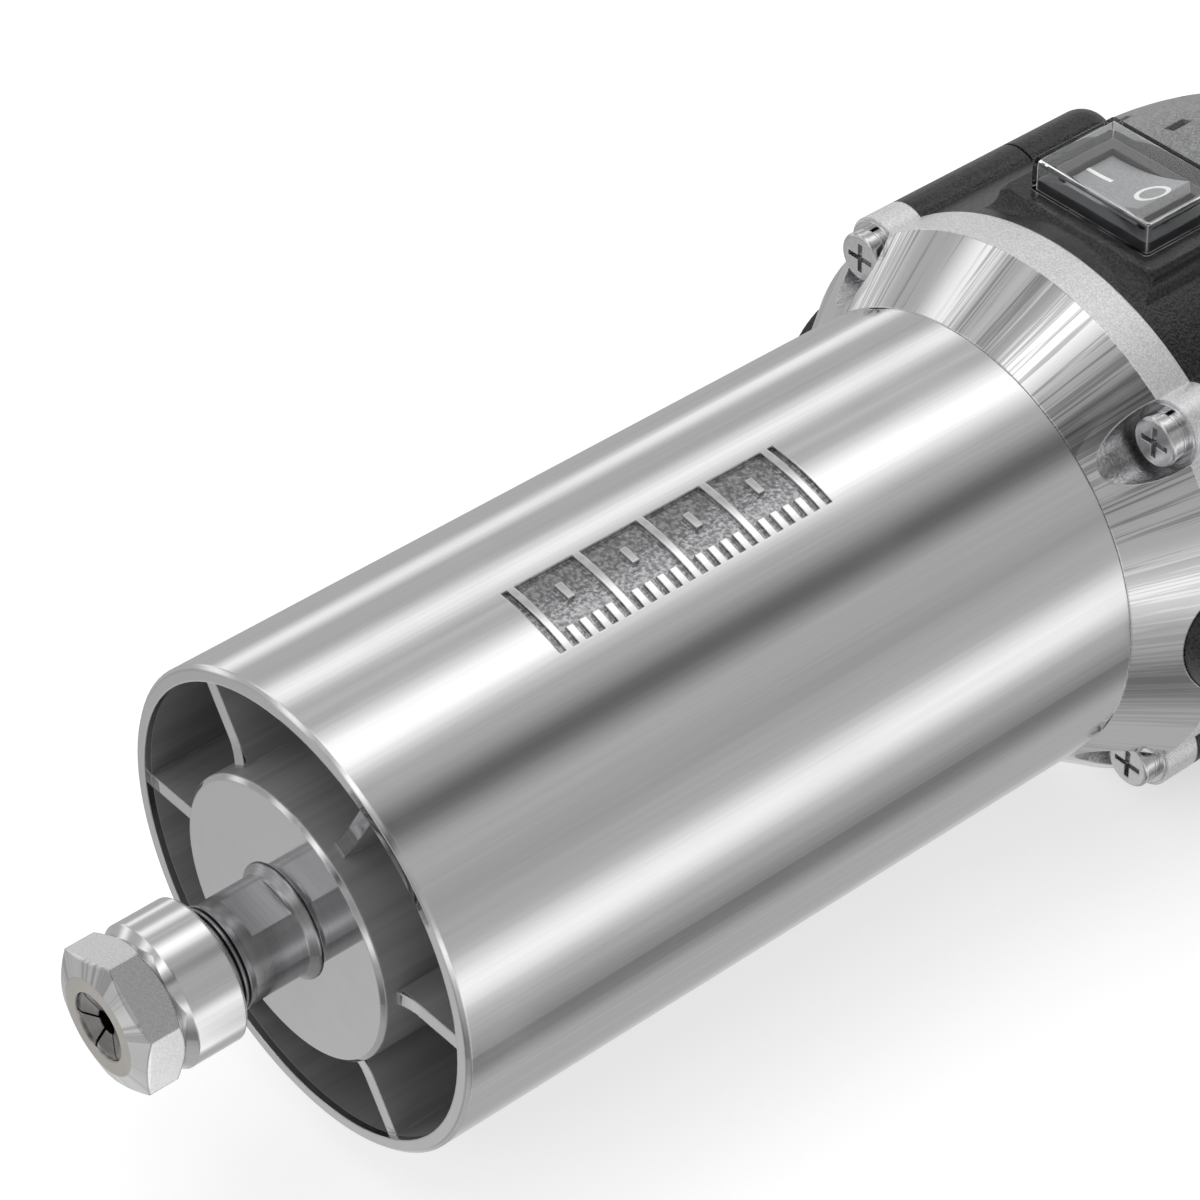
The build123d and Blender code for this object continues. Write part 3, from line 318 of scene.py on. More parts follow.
@dataclass
class Effects:
    """Shader effects shared by the finishes, each built once as a node group."""

    wear_and_highlight: bpy.types.NodeTree = field(init=False)
    grain: bpy.types.NodeTree = field(init=False)
    brush: bpy.types.NodeTree = field(init=False)
    spokes: bpy.types.NodeTree = field(init=False)
    film: bpy.types.NodeTree = field(init=False)
    shade: bpy.types.NodeTree = field(init=False)

    def __post_init__(self) -> None:
        """Build every group."""
        self.wear_and_highlight = self._make_wear()
        self.grain = self._make_grain()
        self.brush = self._make_brush()
        self.spokes = self._make_spokes()
        self.film = self._make_film()
        self.shade = self._make_shade()

    def _make_wear(self) -> bpy.types.NodeTree:
        """Rounded edges: their normal, and a patchy mask of where it leaves the true one.

        Returns:
            The group's tree.
        """
        inputs = {"Radius": (NUMBER, 0.0003), "Gain": (NUMBER, 6.0)}
        sheet = _start_group("edge_wear_and_highlight", inputs, {"Mask": NUMBER, "Normal": VECTOR})
        inlet = sheet.node("NodeGroupInput")
        outlet = sheet.node("NodeGroupOutput")
        bevel = sheet.node("ShaderNodeBevel", samples=EDGE_SAMPLES)
        sheet.feed(bevel.inputs["Radius"], inlet.outputs["Radius"])
        flat = sheet.node("ShaderNodeNewGeometry").outputs["Normal"]
        dot = sheet.node("ShaderNodeVectorMath", operation="DOT_PRODUCT")
        sheet.feed(dot.inputs[0], bevel.outputs[0])
        sheet.feed(dot.inputs[1], flat)
        gap = sheet.math("SUBTRACT", 1.0, dot.outputs["Value"])
        strong = sheet.math("MULTIPLY", gap, inlet.outputs["Gain"], clamp=True)
        patch = sheet.noise(sheet.place(), scale=260.0, detail=2.0)
        patchy = sheet.step(patch, start=0.3, end=0.6)
        sheet.feed(outlet.inputs["Mask"], sheet.math("MULTIPLY", strong, patchy))
        sheet.feed(outlet.inputs["Normal"], bevel.outputs[0])
        return sheet.tree

    def _make_grain(self) -> bpy.types.NodeTree:
        """Fine all-over grain, as blasting or a textured mould leaves it.

        Returns:
            The group's tree.
        """
        sheet = _start_group("fine_grain", {"Scale": (NUMBER, 2500.0)}, HEIGHT_AND_TONE)
        inlet = sheet.node("NodeGroupInput")
        outlet = sheet.node("NodeGroupOutput")
        place = sheet.place()
        fine = sheet.noise(place, inlet.outputs["Scale"], detail=2.0)
        coarse = sheet.noise(place, sheet.math("MULTIPLY", inlet.outputs["Scale"], 0.4), detail=1.0)
        sheet.feed(outlet.inputs["Height"], sheet.weighed(fine, 0.6, coarse, 0.4))
        sheet.feed(outlet.inputs["Tone"], sheet.step(fine, start=0.35, end=0.65))
        return sheet.tree

    def _make_brush(self) -> bpy.types.NodeTree:
        """Streaks that a belt, a lathe tool or a polishing wheel leaves.

        Returns:
            The group's tree.
        """
        inputs = {"Run": (VECTOR, (90.0, 1.0, 90.0)), "Scale": (NUMBER, 20.0)}
        sheet = _start_group("tool_marks", inputs, HEIGHT_AND_TONE)
        inlet = sheet.node("NodeGroupInput")
        outlet = sheet.node("NodeGroupOutput")
        stretched = sheet.node("ShaderNodeVectorMath", operation="MULTIPLY")
        sheet.feed(stretched.inputs[0], sheet.place())
        sheet.feed(stretched.inputs[1], inlet.outputs["Run"])
        fine = sheet.noise(stretched.outputs[0], inlet.outputs["Scale"], detail=4.0)
        broad = sheet.math("MULTIPLY", inlet.outputs["Scale"], 0.2)
        wide = sheet.noise(stretched.outputs[0], broad, detail=2.0)
        sheet.feed(outlet.inputs["Height"], sheet.weighed(fine, 0.4, wide, 1.4))
        tone = sheet.weighed(fine, 0.4, wide, 0.6)
        sheet.feed(outlet.inputs["Tone"], sheet.step(tone, start=0.36, end=0.62))
        return sheet.tree

    def _make_spokes(self) -> bpy.types.NodeTree:
        """Straight streaks down a cone, from its narrow end to its wide end: partly brushing marks and partly
        painted reflection streaks, strongest on its upper side.

        Returns:
            The group's tree.
        """
        sheet = _start_group("cone_streaks", {"Scale": (NUMBER, 30.0)}, HEIGHT_AND_TONE)
        inlet = sheet.node("NodeGroupInput")
        outlet = sheet.node("NodeGroupOutput")
        turned = sheet.node("ShaderNodeCombineXYZ")
        rise = sheet.math("DIVIDE", sheet.axis("Z"), sheet.radius())
        sheet.feed(turned.inputs["X"], sheet.math("DIVIDE", sheet.axis("X"), sheet.radius()))
        sheet.feed(turned.inputs["Y"], sheet.math("MULTIPLY", sheet.axis("Y"), 0.5))
        sheet.feed(turned.inputs["Z"], rise)
        fine = sheet.noise(turned.outputs[0], inlet.outputs["Scale"], detail=5.0)
        broad = sheet.math("MULTIPLY", inlet.outputs["Scale"], 0.12)
        wide = sheet.noise(turned.outputs[0], broad, detail=2.0)
        sheet.feed(outlet.inputs["Height"], fine)
        tone = sheet.weighed(fine, 0.55, wide, 0.45)
        # Painted reflection: the dark streaks are kept to the upper side, and the lower side's tone stays
        # light
        upper_side = sheet.step(rise, start=0.1, end=0.6)
        lower_side_floor = sheet.between(upper_side, 0.62, 0.0)
        sheet.feed(outlet.inputs["Tone"], sheet.math("MAXIMUM", sheet.step(tone, start=0.42, end=0.52), lower_side_floor))
        return sheet.tree

    def _make_film(self) -> bpy.types.NodeTree:
        """Thin uneven film of handling and dust.

        Returns:
            The group's tree.
        """
        sheet = _start_group("handling_film", {"Scale": (NUMBER, 55.0)}, {"Mask": NUMBER})
        inlet = sheet.node("NodeGroupInput")
        outlet = sheet.node("NodeGroupOutput")
        cloud = sheet.noise(sheet.place(), inlet.outputs["Scale"], detail=6.0)
        sheet.feed(outlet.inputs["Mask"], sheet.step(cloud, start=0.42, end=0.72))
        return sheet.tree

    def _make_shade(self) -> bpy.types.NodeTree:
        """Mask of grooves and recesses from ambient occlusion, for the painted shade in their colour.

        Returns:
            The group's tree.
        """
        sheet = _start_group("recess_shade", {"Reach": (NUMBER, 0.0012)}, {"Mask": NUMBER})
        inlet = sheet.node("NodeGroupInput")
        outlet = sheet.node("NodeGroupOutput")
        opening = sheet.node("ShaderNodeAmbientOcclusion", samples=RECESS_SAMPLES, only_local=True)
        sheet.feed(opening.inputs["Distance"], inlet.outputs["Reach"])
        sheet.feed(outlet.inputs["Mask"], sheet.step(opening.outputs["AO"], start=0.75, end=0.3))
        return sheet.tree


@dataclass(frozen=True)
class Region:
    """Stretch of a node, in millimetres from the spindle axis and along it, open where an edge is None.

    A lean lets the distance from the axis grow along the spindle, as on a cone that starts at front.
    """

    inner: float | None = None
    outer: float | None = None
    front: float | None = None
    rear: float | None = None
    lean: float = 0.0
    soft: float = 0.08

    def mask(self, sheet: Sheet) -> Socket:
        """Mask of the region.

        Args:
            sheet: The material's sheet.

        Returns:
            A socket that is 1 inside the region.
        """
        along = sheet.axis("Y")
        radius = sheet.radius()
        if self.lean:
            rise = sheet.math("MULTIPLY", sheet.math("SUBTRACT", along, self.front * MM), self.lean)
            radius = sheet.math("SUBTRACT", radius, rise)
        mask: object = 1.0
        across = ((radius, self.inner, 1), (radius, self.outer, -1))
        edges = (*across, (along, self.front, 1), (along, self.rear, -1))
        for value, edge, way in edges:
            if edge is not None:
                low = (edge - way * self.soft) * MM
                high = (edge + way * self.soft) * MM
                mask = sheet.math("MULTIPLY", mask, sheet.step(value, low, high))
        return mask


@dataclass(frozen=True)
class Surface:
    """Colour, gloss and texture of one surface."""

    colour: tuple[float, float, float]
    roughness: float
    metallic: float = 0.0
    texture: Texture = Texture.GRAIN
    scale: float = 2500.0
    depth: float = 0.05
    swing: float = 0.08

    def marks(self, sheet: Sheet, effects: Effects) -> bpy.types.Node:
        """Place the group that gives the surface its texture.

        Args:
            sheet: The material's sheet.
            effects: The shared node groups.

        Returns:
            The group's node, with Height and Tone.
        """
        if self.texture is Texture.GRAIN:
            return sheet.group(effects.grain, Scale=self.scale)
        if self.texture is Texture.SPOKES:
            return sheet.group(effects.spokes, Scale=self.scale)
        return sheet.group(effects.brush, Run=MARK_RUN[self.texture], Scale=self.scale)

    def toned(self, sheet: Sheet, tone: Socket) -> Socket:
        """Colour of the surface with its texture's light and dark.

        Args:
            sheet: The material's sheet.
            tone: The texture's tone.

        Returns:
            The colour's socket.
        """
        dark = tuple(part * (1.0 - self.swing) for part in self.colour)
        return sheet.blend(tone, dark, self.colour)


@dataclass(frozen=True)
class Finish:
    """An opaque finish: a metal, a plastic, a rubber or a varnish.

    Zones lie over the base in their order. Edge wear, which is partly a painted highlight, brightens the
    edges, and painted shade darkens grooves and corners.
    """

    name: str
    base: Surface
    zones: tuple[tuple[Region, Surface], ...] = ()
    # Lightened edges, partly real wear and partly painted highlight: their share and their pale tone
    wear_and_highlight: float = 0.25
    wear_and_highlight_colour: tuple[float, float, float] = (0.85, 0.85, 0.86)
    # Share of the painted shade that darkens grooves and corners
    painted_shade: float = 0.6
    film: float = 0.05
    coat: float = 0.0
    shine: float = 0.5

    def _layers(self, sheet: Sheet, effects: Effects) -> tuple[Socket, object, object, Socket]:
        """Mix the base surface with its zones.

        Args:
            sheet: The material's sheet.
            effects: The shared node groups.

        Returns:
            Colour, roughness, metallic share and height of the marks.
        """
        marks = self.base.marks(sheet, effects)
        colour = self.base.toned(sheet, marks.outputs["Tone"])
        rough: object = self.base.roughness
        metal: object = self.base.metallic
        height = sheet.math("MULTIPLY", marks.outputs["Height"], self.base.depth)
        for region, surface in self.zones:
            mask = region.mask(sheet)
            marks = surface.marks(sheet, effects)
            colour = sheet.blend(mask, colour, surface.toned(sheet, marks.outputs["Tone"]))
            rough = sheet.between(mask, rough, surface.roughness)
            if surface.metallic != self.base.metallic:
                metal = sheet.between(mask, metal, surface.metallic)
            local = sheet.math("MULTIPLY", marks.outputs["Height"], surface.depth)
            height = sheet.between(mask, height, local)
        return colour, rough, metal, height

    def build(self, effects: Effects) -> bpy.types.Material:
        """Make the material.

        Args:
            effects: The shared node groups.

        Returns:
            The new material.
        """
        material, sheet, shader = _start_material(self.name)
        colour, rough, metal, height = self._layers(sheet, effects)
        bump = sheet.node("ShaderNodeBump")
        bump.inputs["Distance"].default_value = MARK_HEIGHT
        sheet.feed(bump.inputs["Height"], height)
        sheet.feed(shader.inputs["Normal"], bump.outputs[0])
        # Edges: a bevel mask lightens the colour towards a pale tone, partly real wear and partly painted
        # highlight
        if self.wear_and_highlight:
            edge = sheet.group(effects.wear_and_highlight)
            wear_and_highlight_mask = sheet.math("MULTIPLY", edge.outputs["Mask"], self.wear_and_highlight)
            colour = sheet.blend(wear_and_highlight_mask, colour, self.wear_and_highlight_colour)
            sheet.feed(bump.inputs["Normal"], edge.outputs["Normal"])
        # Painted shade: ambient occlusion darkens the colour in grooves, recesses and corners
        if self.painted_shade:
            shade = sheet.math("MULTIPLY", sheet.group(effects.shade).outputs["Mask"], self.painted_shade)
            colour = sheet.blend(shade, colour, PAINTED_SHADE_COLOUR)
        film = sheet.group(effects.film).outputs["Mask"]
        sheet.feed(shader.inputs["Base Color"], colour)
        rough = sheet.math("ADD", rough, sheet.math("MULTIPLY", film, self.film))
        sheet.feed(shader.inputs["Roughness"], rough)
        sheet.feed(shader.inputs["Metallic"], metal)
        shader.inputs["Coat Weight"].default_value = self.coat
        shader.inputs["Specular IOR Level"].default_value = self.shine
        return material


@dataclass(frozen=True)
class ClearFinish:
    """Clear moulded plastic whose edges glow as a painted highlight."""

    name: str
    colour: tuple[float, float, float]
    roughness: float
    index: float = 1.3
    painted_edge_glow: tuple[float, float, float] = (0.3, 0.3, 0.3)

    def build(self, effects: Effects) -> bpy.types.Material:
        """Make the material.

        Args:
            effects: The shared node groups.

        Returns:
            The new material.
        """
        material, sheet, shader = _start_material(self.name)
        film = sheet.group(effects.film, Scale=120.0).outputs["Mask"]
        edge = sheet.group(effects.wear_and_highlight, Radius=0.0003, Gain=4.0).outputs["Mask"]
        shader.inputs["Base Color"].default_value = _rgba(self.colour)
        shader.inputs["IOR"].default_value = self.index
        shader.inputs["Transmission Weight"].default_value = 1.0
        # Painted highlight: the edges glow with emission
        shader.inputs["Emission Strength"].default_value = 1.0
        sheet.feed(shader.inputs["Emission Color"], sheet.blend(edge, (0.0, 0.0, 0.0), self.painted_edge_glow))
        sheet.feed(shader.inputs["Roughness"], sheet.between(film, self.roughness, self.roughness + 0.03))
        return material


MIRROR = Surface(
    colour=(0.72, 0.72, 0.73), roughness=0.05, metallic=1.0,
    texture=Texture.TURNED, scale=20.0, depth=0.003, swing=0.04,
)
POLISHED = Surface(
    colour=(0.92, 0.92, 0.93), roughness=0.11, metallic=1.0,
    texture=Texture.ALONG, scale=26.0, depth=0.016, swing=0.07,
)
FROSTED = Surface(
    colour=(0.92, 0.92, 0.93), roughness=0.42, metallic=0.75,
    texture=Texture.GRAIN, scale=3800.0, depth=0.35, swing=0.24,
)
CAVITY_PAINT = Surface(
    colour=(0.21, 0.21, 0.212), roughness=0.5, metallic=0.0,
    texture=Texture.ALONG, scale=14.0, depth=0.01, swing=0.2,
)
TURNED_STEEL = Surface(
    colour=(0.47, 0.47, 0.48), roughness=0.24, metallic=1.0,
    texture=Texture.TURNED, scale=20.0, depth=0.02, swing=0.14,
)
DARK_GROOVES = Surface(
    colour=(0.12, 0.12, 0.125), roughness=0.4, metallic=1.0,
    texture=Texture.TURNED, scale=20.0, depth=0.02, swing=0.2,
)

ZINC = Finish(
    "zinc_fastener",
    Surface(colour=(0.78, 0.78, 0.79), roughness=0.17, metallic=1.0, depth=0.04),
    wear_and_highlight=0.4,
    painted_shade=0.35,
)
BEARING = Finish(
    "bearing_steel",
    Surface(colour=(0.74, 0.74, 0.75), roughness=0.12, metallic=1.0, depth=0.01, swing=0.05),
)
SPRING = Finish("spring_steel", Surface(colour=(0.28, 0.28, 0.29), roughness=0.3, metallic=1.0))
SHEET_STACK = Surface(
    colour=(0.30, 0.30, 0.31), roughness=0.45, metallic=1.0,
    texture=Texture.TURNED, scale=3.0, depth=0.5, swing=0.4,
)
LAMINATION = Finish("stacked_sheet", SHEET_STACK)
WIRE = Surface(
    colour=(0.42, 0.15, 0.06), roughness=0.3, metallic=0.6,
    texture=Texture.ALONG, scale=12.0, depth=0.6, swing=0.5,
)
COPPER_WIRE = Finish("varnished_wire", WIRE, coat=0.5)
COPPER = Finish(
    "turned_copper",
    Surface(
        colour=(0.72, 0.36, 0.20), roughness=0.25, metallic=1.0,
        texture=Texture.TURNED, scale=20.0, depth=0.1, swing=0.12,
    ),
)
RESIN = Finish("moulded_resin", Surface(colour=(0.07, 0.03, 0.02), roughness=0.35))
CARBON = Finish("pressed_carbon", Surface(colour=(0.035, 0.035, 0.038), roughness=0.5, depth=0.3), wear_and_highlight=0.0)
BRASS = Finish(
    "drawn_brass",
    Surface(
        colour=(0.66, 0.47, 0.17), roughness=0.28, metallic=1.0,
        texture=Texture.ALONG, scale=20.0, depth=0.08, swing=0.12,
    ),
)
BLACK = Finish(
    "moulded_black",
    Surface(colour=(0.018, 0.018, 0.02), roughness=0.3, scale=3200.0, depth=0.1),
    wear_and_highlight=0.06,
)
NYLON = Finish("moulded_nylon", Surface(colour=(0.03, 0.03, 0.033), roughness=0.42, depth=0.1), wear_and_highlight=0.1)
RUBBER = Finish("moulded_rubber", Surface(colour=(0.02, 0.02, 0.02), roughness=0.6, depth=0.2), wear_and_highlight=0.0)
PRINT = Finish("white_print", Surface(colour=(0.97, 0.97, 0.96), roughness=0.45), wear_and_highlight=0.0, painted_shade=0.0)
CLEAR = ClearFinish("clear_cover", (0.97, 0.975, 0.98), 0.02)

AnyFinish = Finish | ClearFinish


@dataclass
class Paintshop:
    """Makes each finish once and gives it to pieces."""

    effects: Effects
    made: dict[str, bpy.types.Material] = field(default_factory=dict)

    def material(self, finish: AnyFinish) -> bpy.types.Material:
        """Material of a finish, built at its first use.

        Args:
            finish: The finish.

        Returns:
            Its material.
        """
        if finish.name not in self.made:
            self.made[finish.name] = finish.build(self.effects)
        return self.made[finish.name]

    def dress(self, piece: bpy.types.Object, finish: AnyFinish) -> None:
        """Give a piece one finish.

        Args:
            piece: The object.
            finish: The finish.
        """
        piece.data.materials.clear()
        piece.data.materials.append(self.material(finish))
        LOG.info("%s has the finish %s", piece.name, finish.name)


@dataclass
class SubAssembly:
    """Nodes of the frame that are made and dressed together."""

    shop: Paintshop
    nodes: dict[str, bpy.types.Object]

    def finishes(self) -> dict[str, AnyFinish]:
        """Finish of each node of the sub-assembly."""
        return {}

    def build(self) -> None:
        """Dress the nodes."""
        for name, finish in self.finishes().items():
            self.shop.dress(self.nodes[name], finish)


@dataclass
class ClampingBarrel(SubAssembly):
    """Polished barrel with its dark cavities, bright faces and stamped scale."""

    hub_front: float = -55.9
    rib_front: float = -53.0
    hub_radius: float = 19.2
    cavity_radius: float = 30.5
    scale_floor: float = 31.9
    scale_half_length: float = 26.0

    def finishes(self) -> dict[str, AnyFinish]:
        """Finish of each node of the barrel."""
        stamped = Surface(
            colour=(0.50, 0.50, 0.51), roughness=0.16, metallic=1.0,
            texture=Texture.GRAIN, scale=1900.0, depth=1.1, swing=0.5,
        )
        cavity = Region(inner=self.hub_radius - 0.3, outer=self.cavity_radius + 0.4, front=self.rib_front)
        hub = Region(inner=self.hub_radius - 0.12, outer=self.hub_radius + 0.3, front=self.hub_front + 0.5)
        scale = Region(
            inner=self.scale_floor - 0.3,
            outer=self.scale_floor + 0.35,
            front=-self.scale_half_length,
            rear=self.scale_half_length,
        )
        faces = Region(outer=self.cavity_radius + 1.6, rear=self.rib_front - 0.02, soft=0.04)
        zones = ((faces, MIRROR), (cavity, CAVITY_PAINT), (hub, CAVITY_PAINT), (scale, stamped))
        return {"barrel_housing": Finish("polished_barrel", POLISHED, zones, painted_shade=0.2)}


@dataclass
class MotorFlange(SubAssembly):
    """Cone flange, brushed on the cone and blasted on its band and lugs, with its fasteners."""

    cone_front: float = 54.0
    cone_rear: float = 64.2
    cone_small_radius: float = 32.4
    cone_large_radius: float = 38.95

    def finishes(self) -> dict[str, AnyFinish]:
        """Finish of each node of the flange."""
        lean = (self.cone_large_radius - self.cone_small_radius) / (self.cone_rear - self.cone_front)
        cone = Region(
            inner=self.cone_small_radius - 0.05,
            front=self.cone_front,
            rear=self.cone_rear + 0.05,
            lean=lean,
            soft=0.03,
        )
        # Cone: brushing streaks with painted reflection streaks in their tone
        streaked = Surface(
            colour=(0.90, 0.90, 0.91), roughness=0.08, metallic=1.0,
            texture=Texture.SPOKES, scale=80.0, depth=0.03, swing=0.46,
        )
        scooped = Surface(
            colour=(0.70, 0.70, 0.71), roughness=0.28, metallic=1.0,
            texture=Texture.GRAIN, scale=2300.0, depth=0.9, swing=0.3,
        )
        pocket = Region(front=self.cone_front - 0.5, rear=self.cone_rear)
        return {
            "motor_flange": Finish(
                "brushed_flange",
                FROSTED,
                ((pocket, scooped), (cone, streaked)),
                # Strong edge lightening paints bright highlights on the pocket rims, on top of their wear
                wear_and_highlight=0.8,
                painted_shade=0.25,
            ),
            "flange_screws": ZINC,
            "spring_washers": ZINC,
            "flat_washers": ZINC,
        }


@dataclass
class Spindle(SubAssembly):
    """Ground shaft with its bearings and their spacers."""

    thread_root: float = 6.72
    thread_front: float = -77.6
    thread_rear: float = -65.6

    def finishes(self) -> dict[str, AnyFinish]:
        """Finish of each node of the spindle."""
        grooves = Region(outer=self.thread_root, front=self.thread_front, rear=self.thread_rear)
        shaft = Finish("ground_shaft", TURNED_STEEL, ((grooves, DARK_GROOVES),), painted_shade=0.85)
        names = (
            "spindle_bearing_outer_rings",
            "spindle_bearing_inner_rings",
            "spindle_bearing_balls",
            "tail_bearing_outer_ring",
            "tail_bearing_inner_ring",
            "tail_bearing_balls",
        )
        found: dict[str, AnyFinish] = {name: BEARING for name in names}
        found["spindle_shaft"] = shaft
        found["bearing_spacer"] = Finish("turned_steel", TURNED_STEEL)
        found["wave_spring"] = SPRING
        found["bearing_circlip"] = SPRING
        return found


@dataclass
class ColletChuck(SubAssembly):
    """Collet and its clamping nut."""

    nut_front: float = -82.6
    face_radius: float = 6.45
    bevel_length: float = 1.3
    hex_rear: float = -76.3

    def finishes(self) -> dict[str, AnyFinish]:
        """Finish of each node of the chuck."""
        satin = Surface(
            colour=(0.84, 0.84, 0.85), roughness=0.2, metallic=1.0,
            texture=Texture.GRAIN, scale=4200.0, depth=0.07, swing=0.12,
        )
        # Nut's bevel: the same streaks, with painted reflection on its upper side
        bevel = Surface(
            colour=(0.95, 0.95, 0.95), roughness=0.2, metallic=1.0,
            texture=Texture.SPOKES, scale=12.0, depth=0.03, swing=0.35,
        )
        face = Surface(
            colour=(0.60, 0.57, 0.53), roughness=0.3, metallic=0.8,
            texture=Texture.TURNED, scale=20.0, depth=0.03, swing=0.1,
        )
        zones = (
            (Region(rear=self.hex_rear), satin),
            (Region(rear=self.nut_front + self.bevel_length, outer=9.6), bevel),
            (Region(rear=self.nut_front + 0.12, outer=self.face_radius + 0.05), face),
        )
        collet = Surface(
            colour=(0.34, 0.33, 0.32), roughness=0.22, metallic=1.0,
            texture=Texture.TURNED, scale=20.0, depth=0.03, swing=0.12,
        )
        return {
            "collet_nut": Finish("plated_nut", POLISHED, zones),
            "collet": Finish("hardened_collet", collet, painted_shade=0.8),
        }


@dataclass
class Motor(SubAssembly):
    """Moulded housing and end cap with the motor inside."""

    def finishes(self) -> dict[str, AnyFinish]:
        """Finish of each node of the motor."""
        textured = Surface(
            colour=(0.024, 0.024, 0.025), roughness=0.25, metallic=0.0,
            texture=Texture.GRAIN, scale=2800.0, depth=1.3, swing=0.9,
        )
        smooth = Surface(
            colour=(0.31, 0.312, 0.316), roughness=0.32, metallic=0.0,
            texture=Texture.GRAIN, scale=3000.0, depth=0.7, swing=0.5,
        )
        return {
            "motor_housing": Finish(
                "textured_housing",
                textured,
                # Lighter edges on the black housing: partly rubbed wear, partly painted highlight
                wear_and_highlight=0.1,
                wear_and_highlight_colour=(0.2, 0.2, 0.2),
                shine=0.55,
            ),
            "end_cap": Finish("grey_cap", smooth, wear_and_highlight=0.1, painted_shade=0.4),
            "end_cap_screws": ZINC,
            "cord_gland": BLACK,
            "gland_nut": BLACK,
            "gland_seal": RUBBER,
            "commutator_hub": RESIN,
            "commutator_bars": COPPER,
            "armature_core": LAMINATION,
            "armature_windings": COPPER_WIRE,
            "field_core": LAMINATION,
            "field_windings": COPPER_WIRE,
            "cooling_fan": NYLON,
            "brush_holders": BRASS,
            "carbon_brushes": CARBON,
            "brush_springs": SPRING,
            "brush_caps": BLACK,
        }


@dataclass
class Switch(SubAssembly):
    """Rocker switch under its clear cover, with a white bar and a white ring printed on the rocker."""

    station: float = 83.45
    pivot_height: float = 38.0
    crown: float = 3.0
    dip: float = 0.8
    half_length: float = 6.9
    lean: float = 11.5
    reach: float = 4.7
    bar_length: float = 4.4
    ring_size: float = 4.8
    line: float = 0.65
    lift: float = 0.03
    bar_steps: int = 8
    ring_steps: int = 40

    def _point(self, x: float, y: float) -> Vector:
        """Place a point of the level rocker's top on the leaning rocker.

        Args:
            x: Distance from the pivot along the rocker, in millimetres.
            y: Distance from the rocker's middle along the spindle axis, in millimetres.

        Returns:
            The point in metres.
        """
        height = self.crown + self.dip * (x / self.half_length) ** 2 + self.lift
        turn = math.radians(self.lean)
        across = x * math.cos(turn) - height * math.sin(turn)
        up = x * math.sin(turn) + height * math.cos(turn)
        return Vector((across, self.station + y, self.pivot_height + up)) * MM

    def _print_mark(self, name: str, rows: list[list[tuple[float, float]]], closed: bool) -> bpy.types.Object:
        """Make a thin printed patch from rows of points.

        Args:
            name: The piece's name.
            rows: Rows of (x, y) points, each as long as the others.
            closed: Whether the last row joins the first.

        Returns:
            The new object, which rides on the rocker.
        """
        mesh = bpy.data.meshes.new(name)
        work = bmesh.new()
        grid = [[work.verts.new(self._point(x, y)) for x, y in row] for row in rows]
        if closed:
            grid.append(grid[0])
        for low, high in zip(grid[:-1], grid[1:]):
            for k in range(len(low) - 1):
                work.faces.new((low[k], low[k + 1], high[k + 1], high[k]))
        bmesh.ops.recalc_face_normals(work, faces=work.faces)
        if work.faces[:][0].normal.z < 0:
            bmesh.ops.reverse_faces(work, faces=work.faces)
        work.to_mesh(mesh)
        work.free()
        piece = _add_to_scene(name, mesh)
        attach(piece, Body.ROCKER.value)
        self.shop.dress(piece, PRINT)
        return piece

    def finishes(self) -> dict[str, AnyFinish]:
        """Finish of each node of the switch."""
        satin = Surface(
            colour=(0.29, 0.29, 0.294), roughness=0.32, metallic=0.0,
            texture=Texture.GRAIN, scale=3000.0, depth=0.25, swing=0.25,
        )
        return {
            "switch_body": BLACK,
            "switch_rocker": Finish("satin_rocker", satin, wear_and_highlight=0.1, painted_shade=0.2),
            "switch_cover": CLEAR,
            "switch_terminals": BRASS,
        }

    def build(self) -> None:
        """Dress the nodes and print both marks."""
        super().build()
        self._print_mark("rocker_mark_on", self._bar_rows(), closed=False)
        self._print_mark("rocker_mark_off", self._ring_rows(), closed=True)

    def _bar_rows(self) -> list[list[tuple[float, float]]]:
        """Rows of points along the bar, each from its one side to the other."""
        start = -self.reach - self.bar_length / 2
        places = [start + self.bar_length * k / self.bar_steps for k in range(self.bar_steps + 1)]
        return [[(x, side * self.line / 2) for side in (-1, 1)] for x in places]

    def _ring_rows(self) -> list[list[tuple[float, float]]]:
        """Rows of points round the ring, each from its inner to its outer edge."""
        sizes = (self.ring_size / 2 - self.line, self.ring_size / 2)
        rows = []
        for k in range(self.ring_steps):
            angle = 2 * math.pi * k / self.ring_steps
            rows.append([(self.reach + r * math.cos(angle), r * math.sin(angle)) for r in sizes])
        return rows


@dataclass(frozen=True)
class SoftPanel:
    """Long light or dark panel beside the spindle, soft at both edges.

    Its centre and spread are angles about the spindle axis, in degrees from X towards Z.
    """

    centre: float
    spread: float
    level: float

    def stops(self, plain: float) -> list[tuple[float, float]]:
        """Angle and level of the panel's edges and middle.

        Args:
            plain: Level between the panels.

        Returns:
            Three pairs of angle and level.
        """
        start = self.centre - self.spread
        end = self.centre + self.spread
        return [(start, plain), (self.centre, self.level), (end, plain)]


@dataclass(frozen=True)
class SoftLamp:
    """Rectangular lamp that faces the object and lights only matt surfaces, in metres and watts."""

    name: str
    place: tuple[float, float, float]
    wide: float
    high: float
    power: float

    def hang(self, target: tuple[float, float, float]) -> None:
        """Hang the lamp.

        Args:
            target: The point that it faces, in metres.
        """
        data = bpy.data.lights.new(self.name, "AREA")
        data.shape = "RECTANGLE"
        data.size = self.wide
        data.size_y = self.high
        data.energy = self.power
        lamp = _add_to_scene(self.name, data)
        lamp.visible_glossy = False
        aim = Vector(target) - Vector(self.place)
        turn = aim.to_track_quat("-Z", "Y").to_matrix().to_4x4()
        lamp.matrix_world = Matrix.Translation(self.place) @ turn


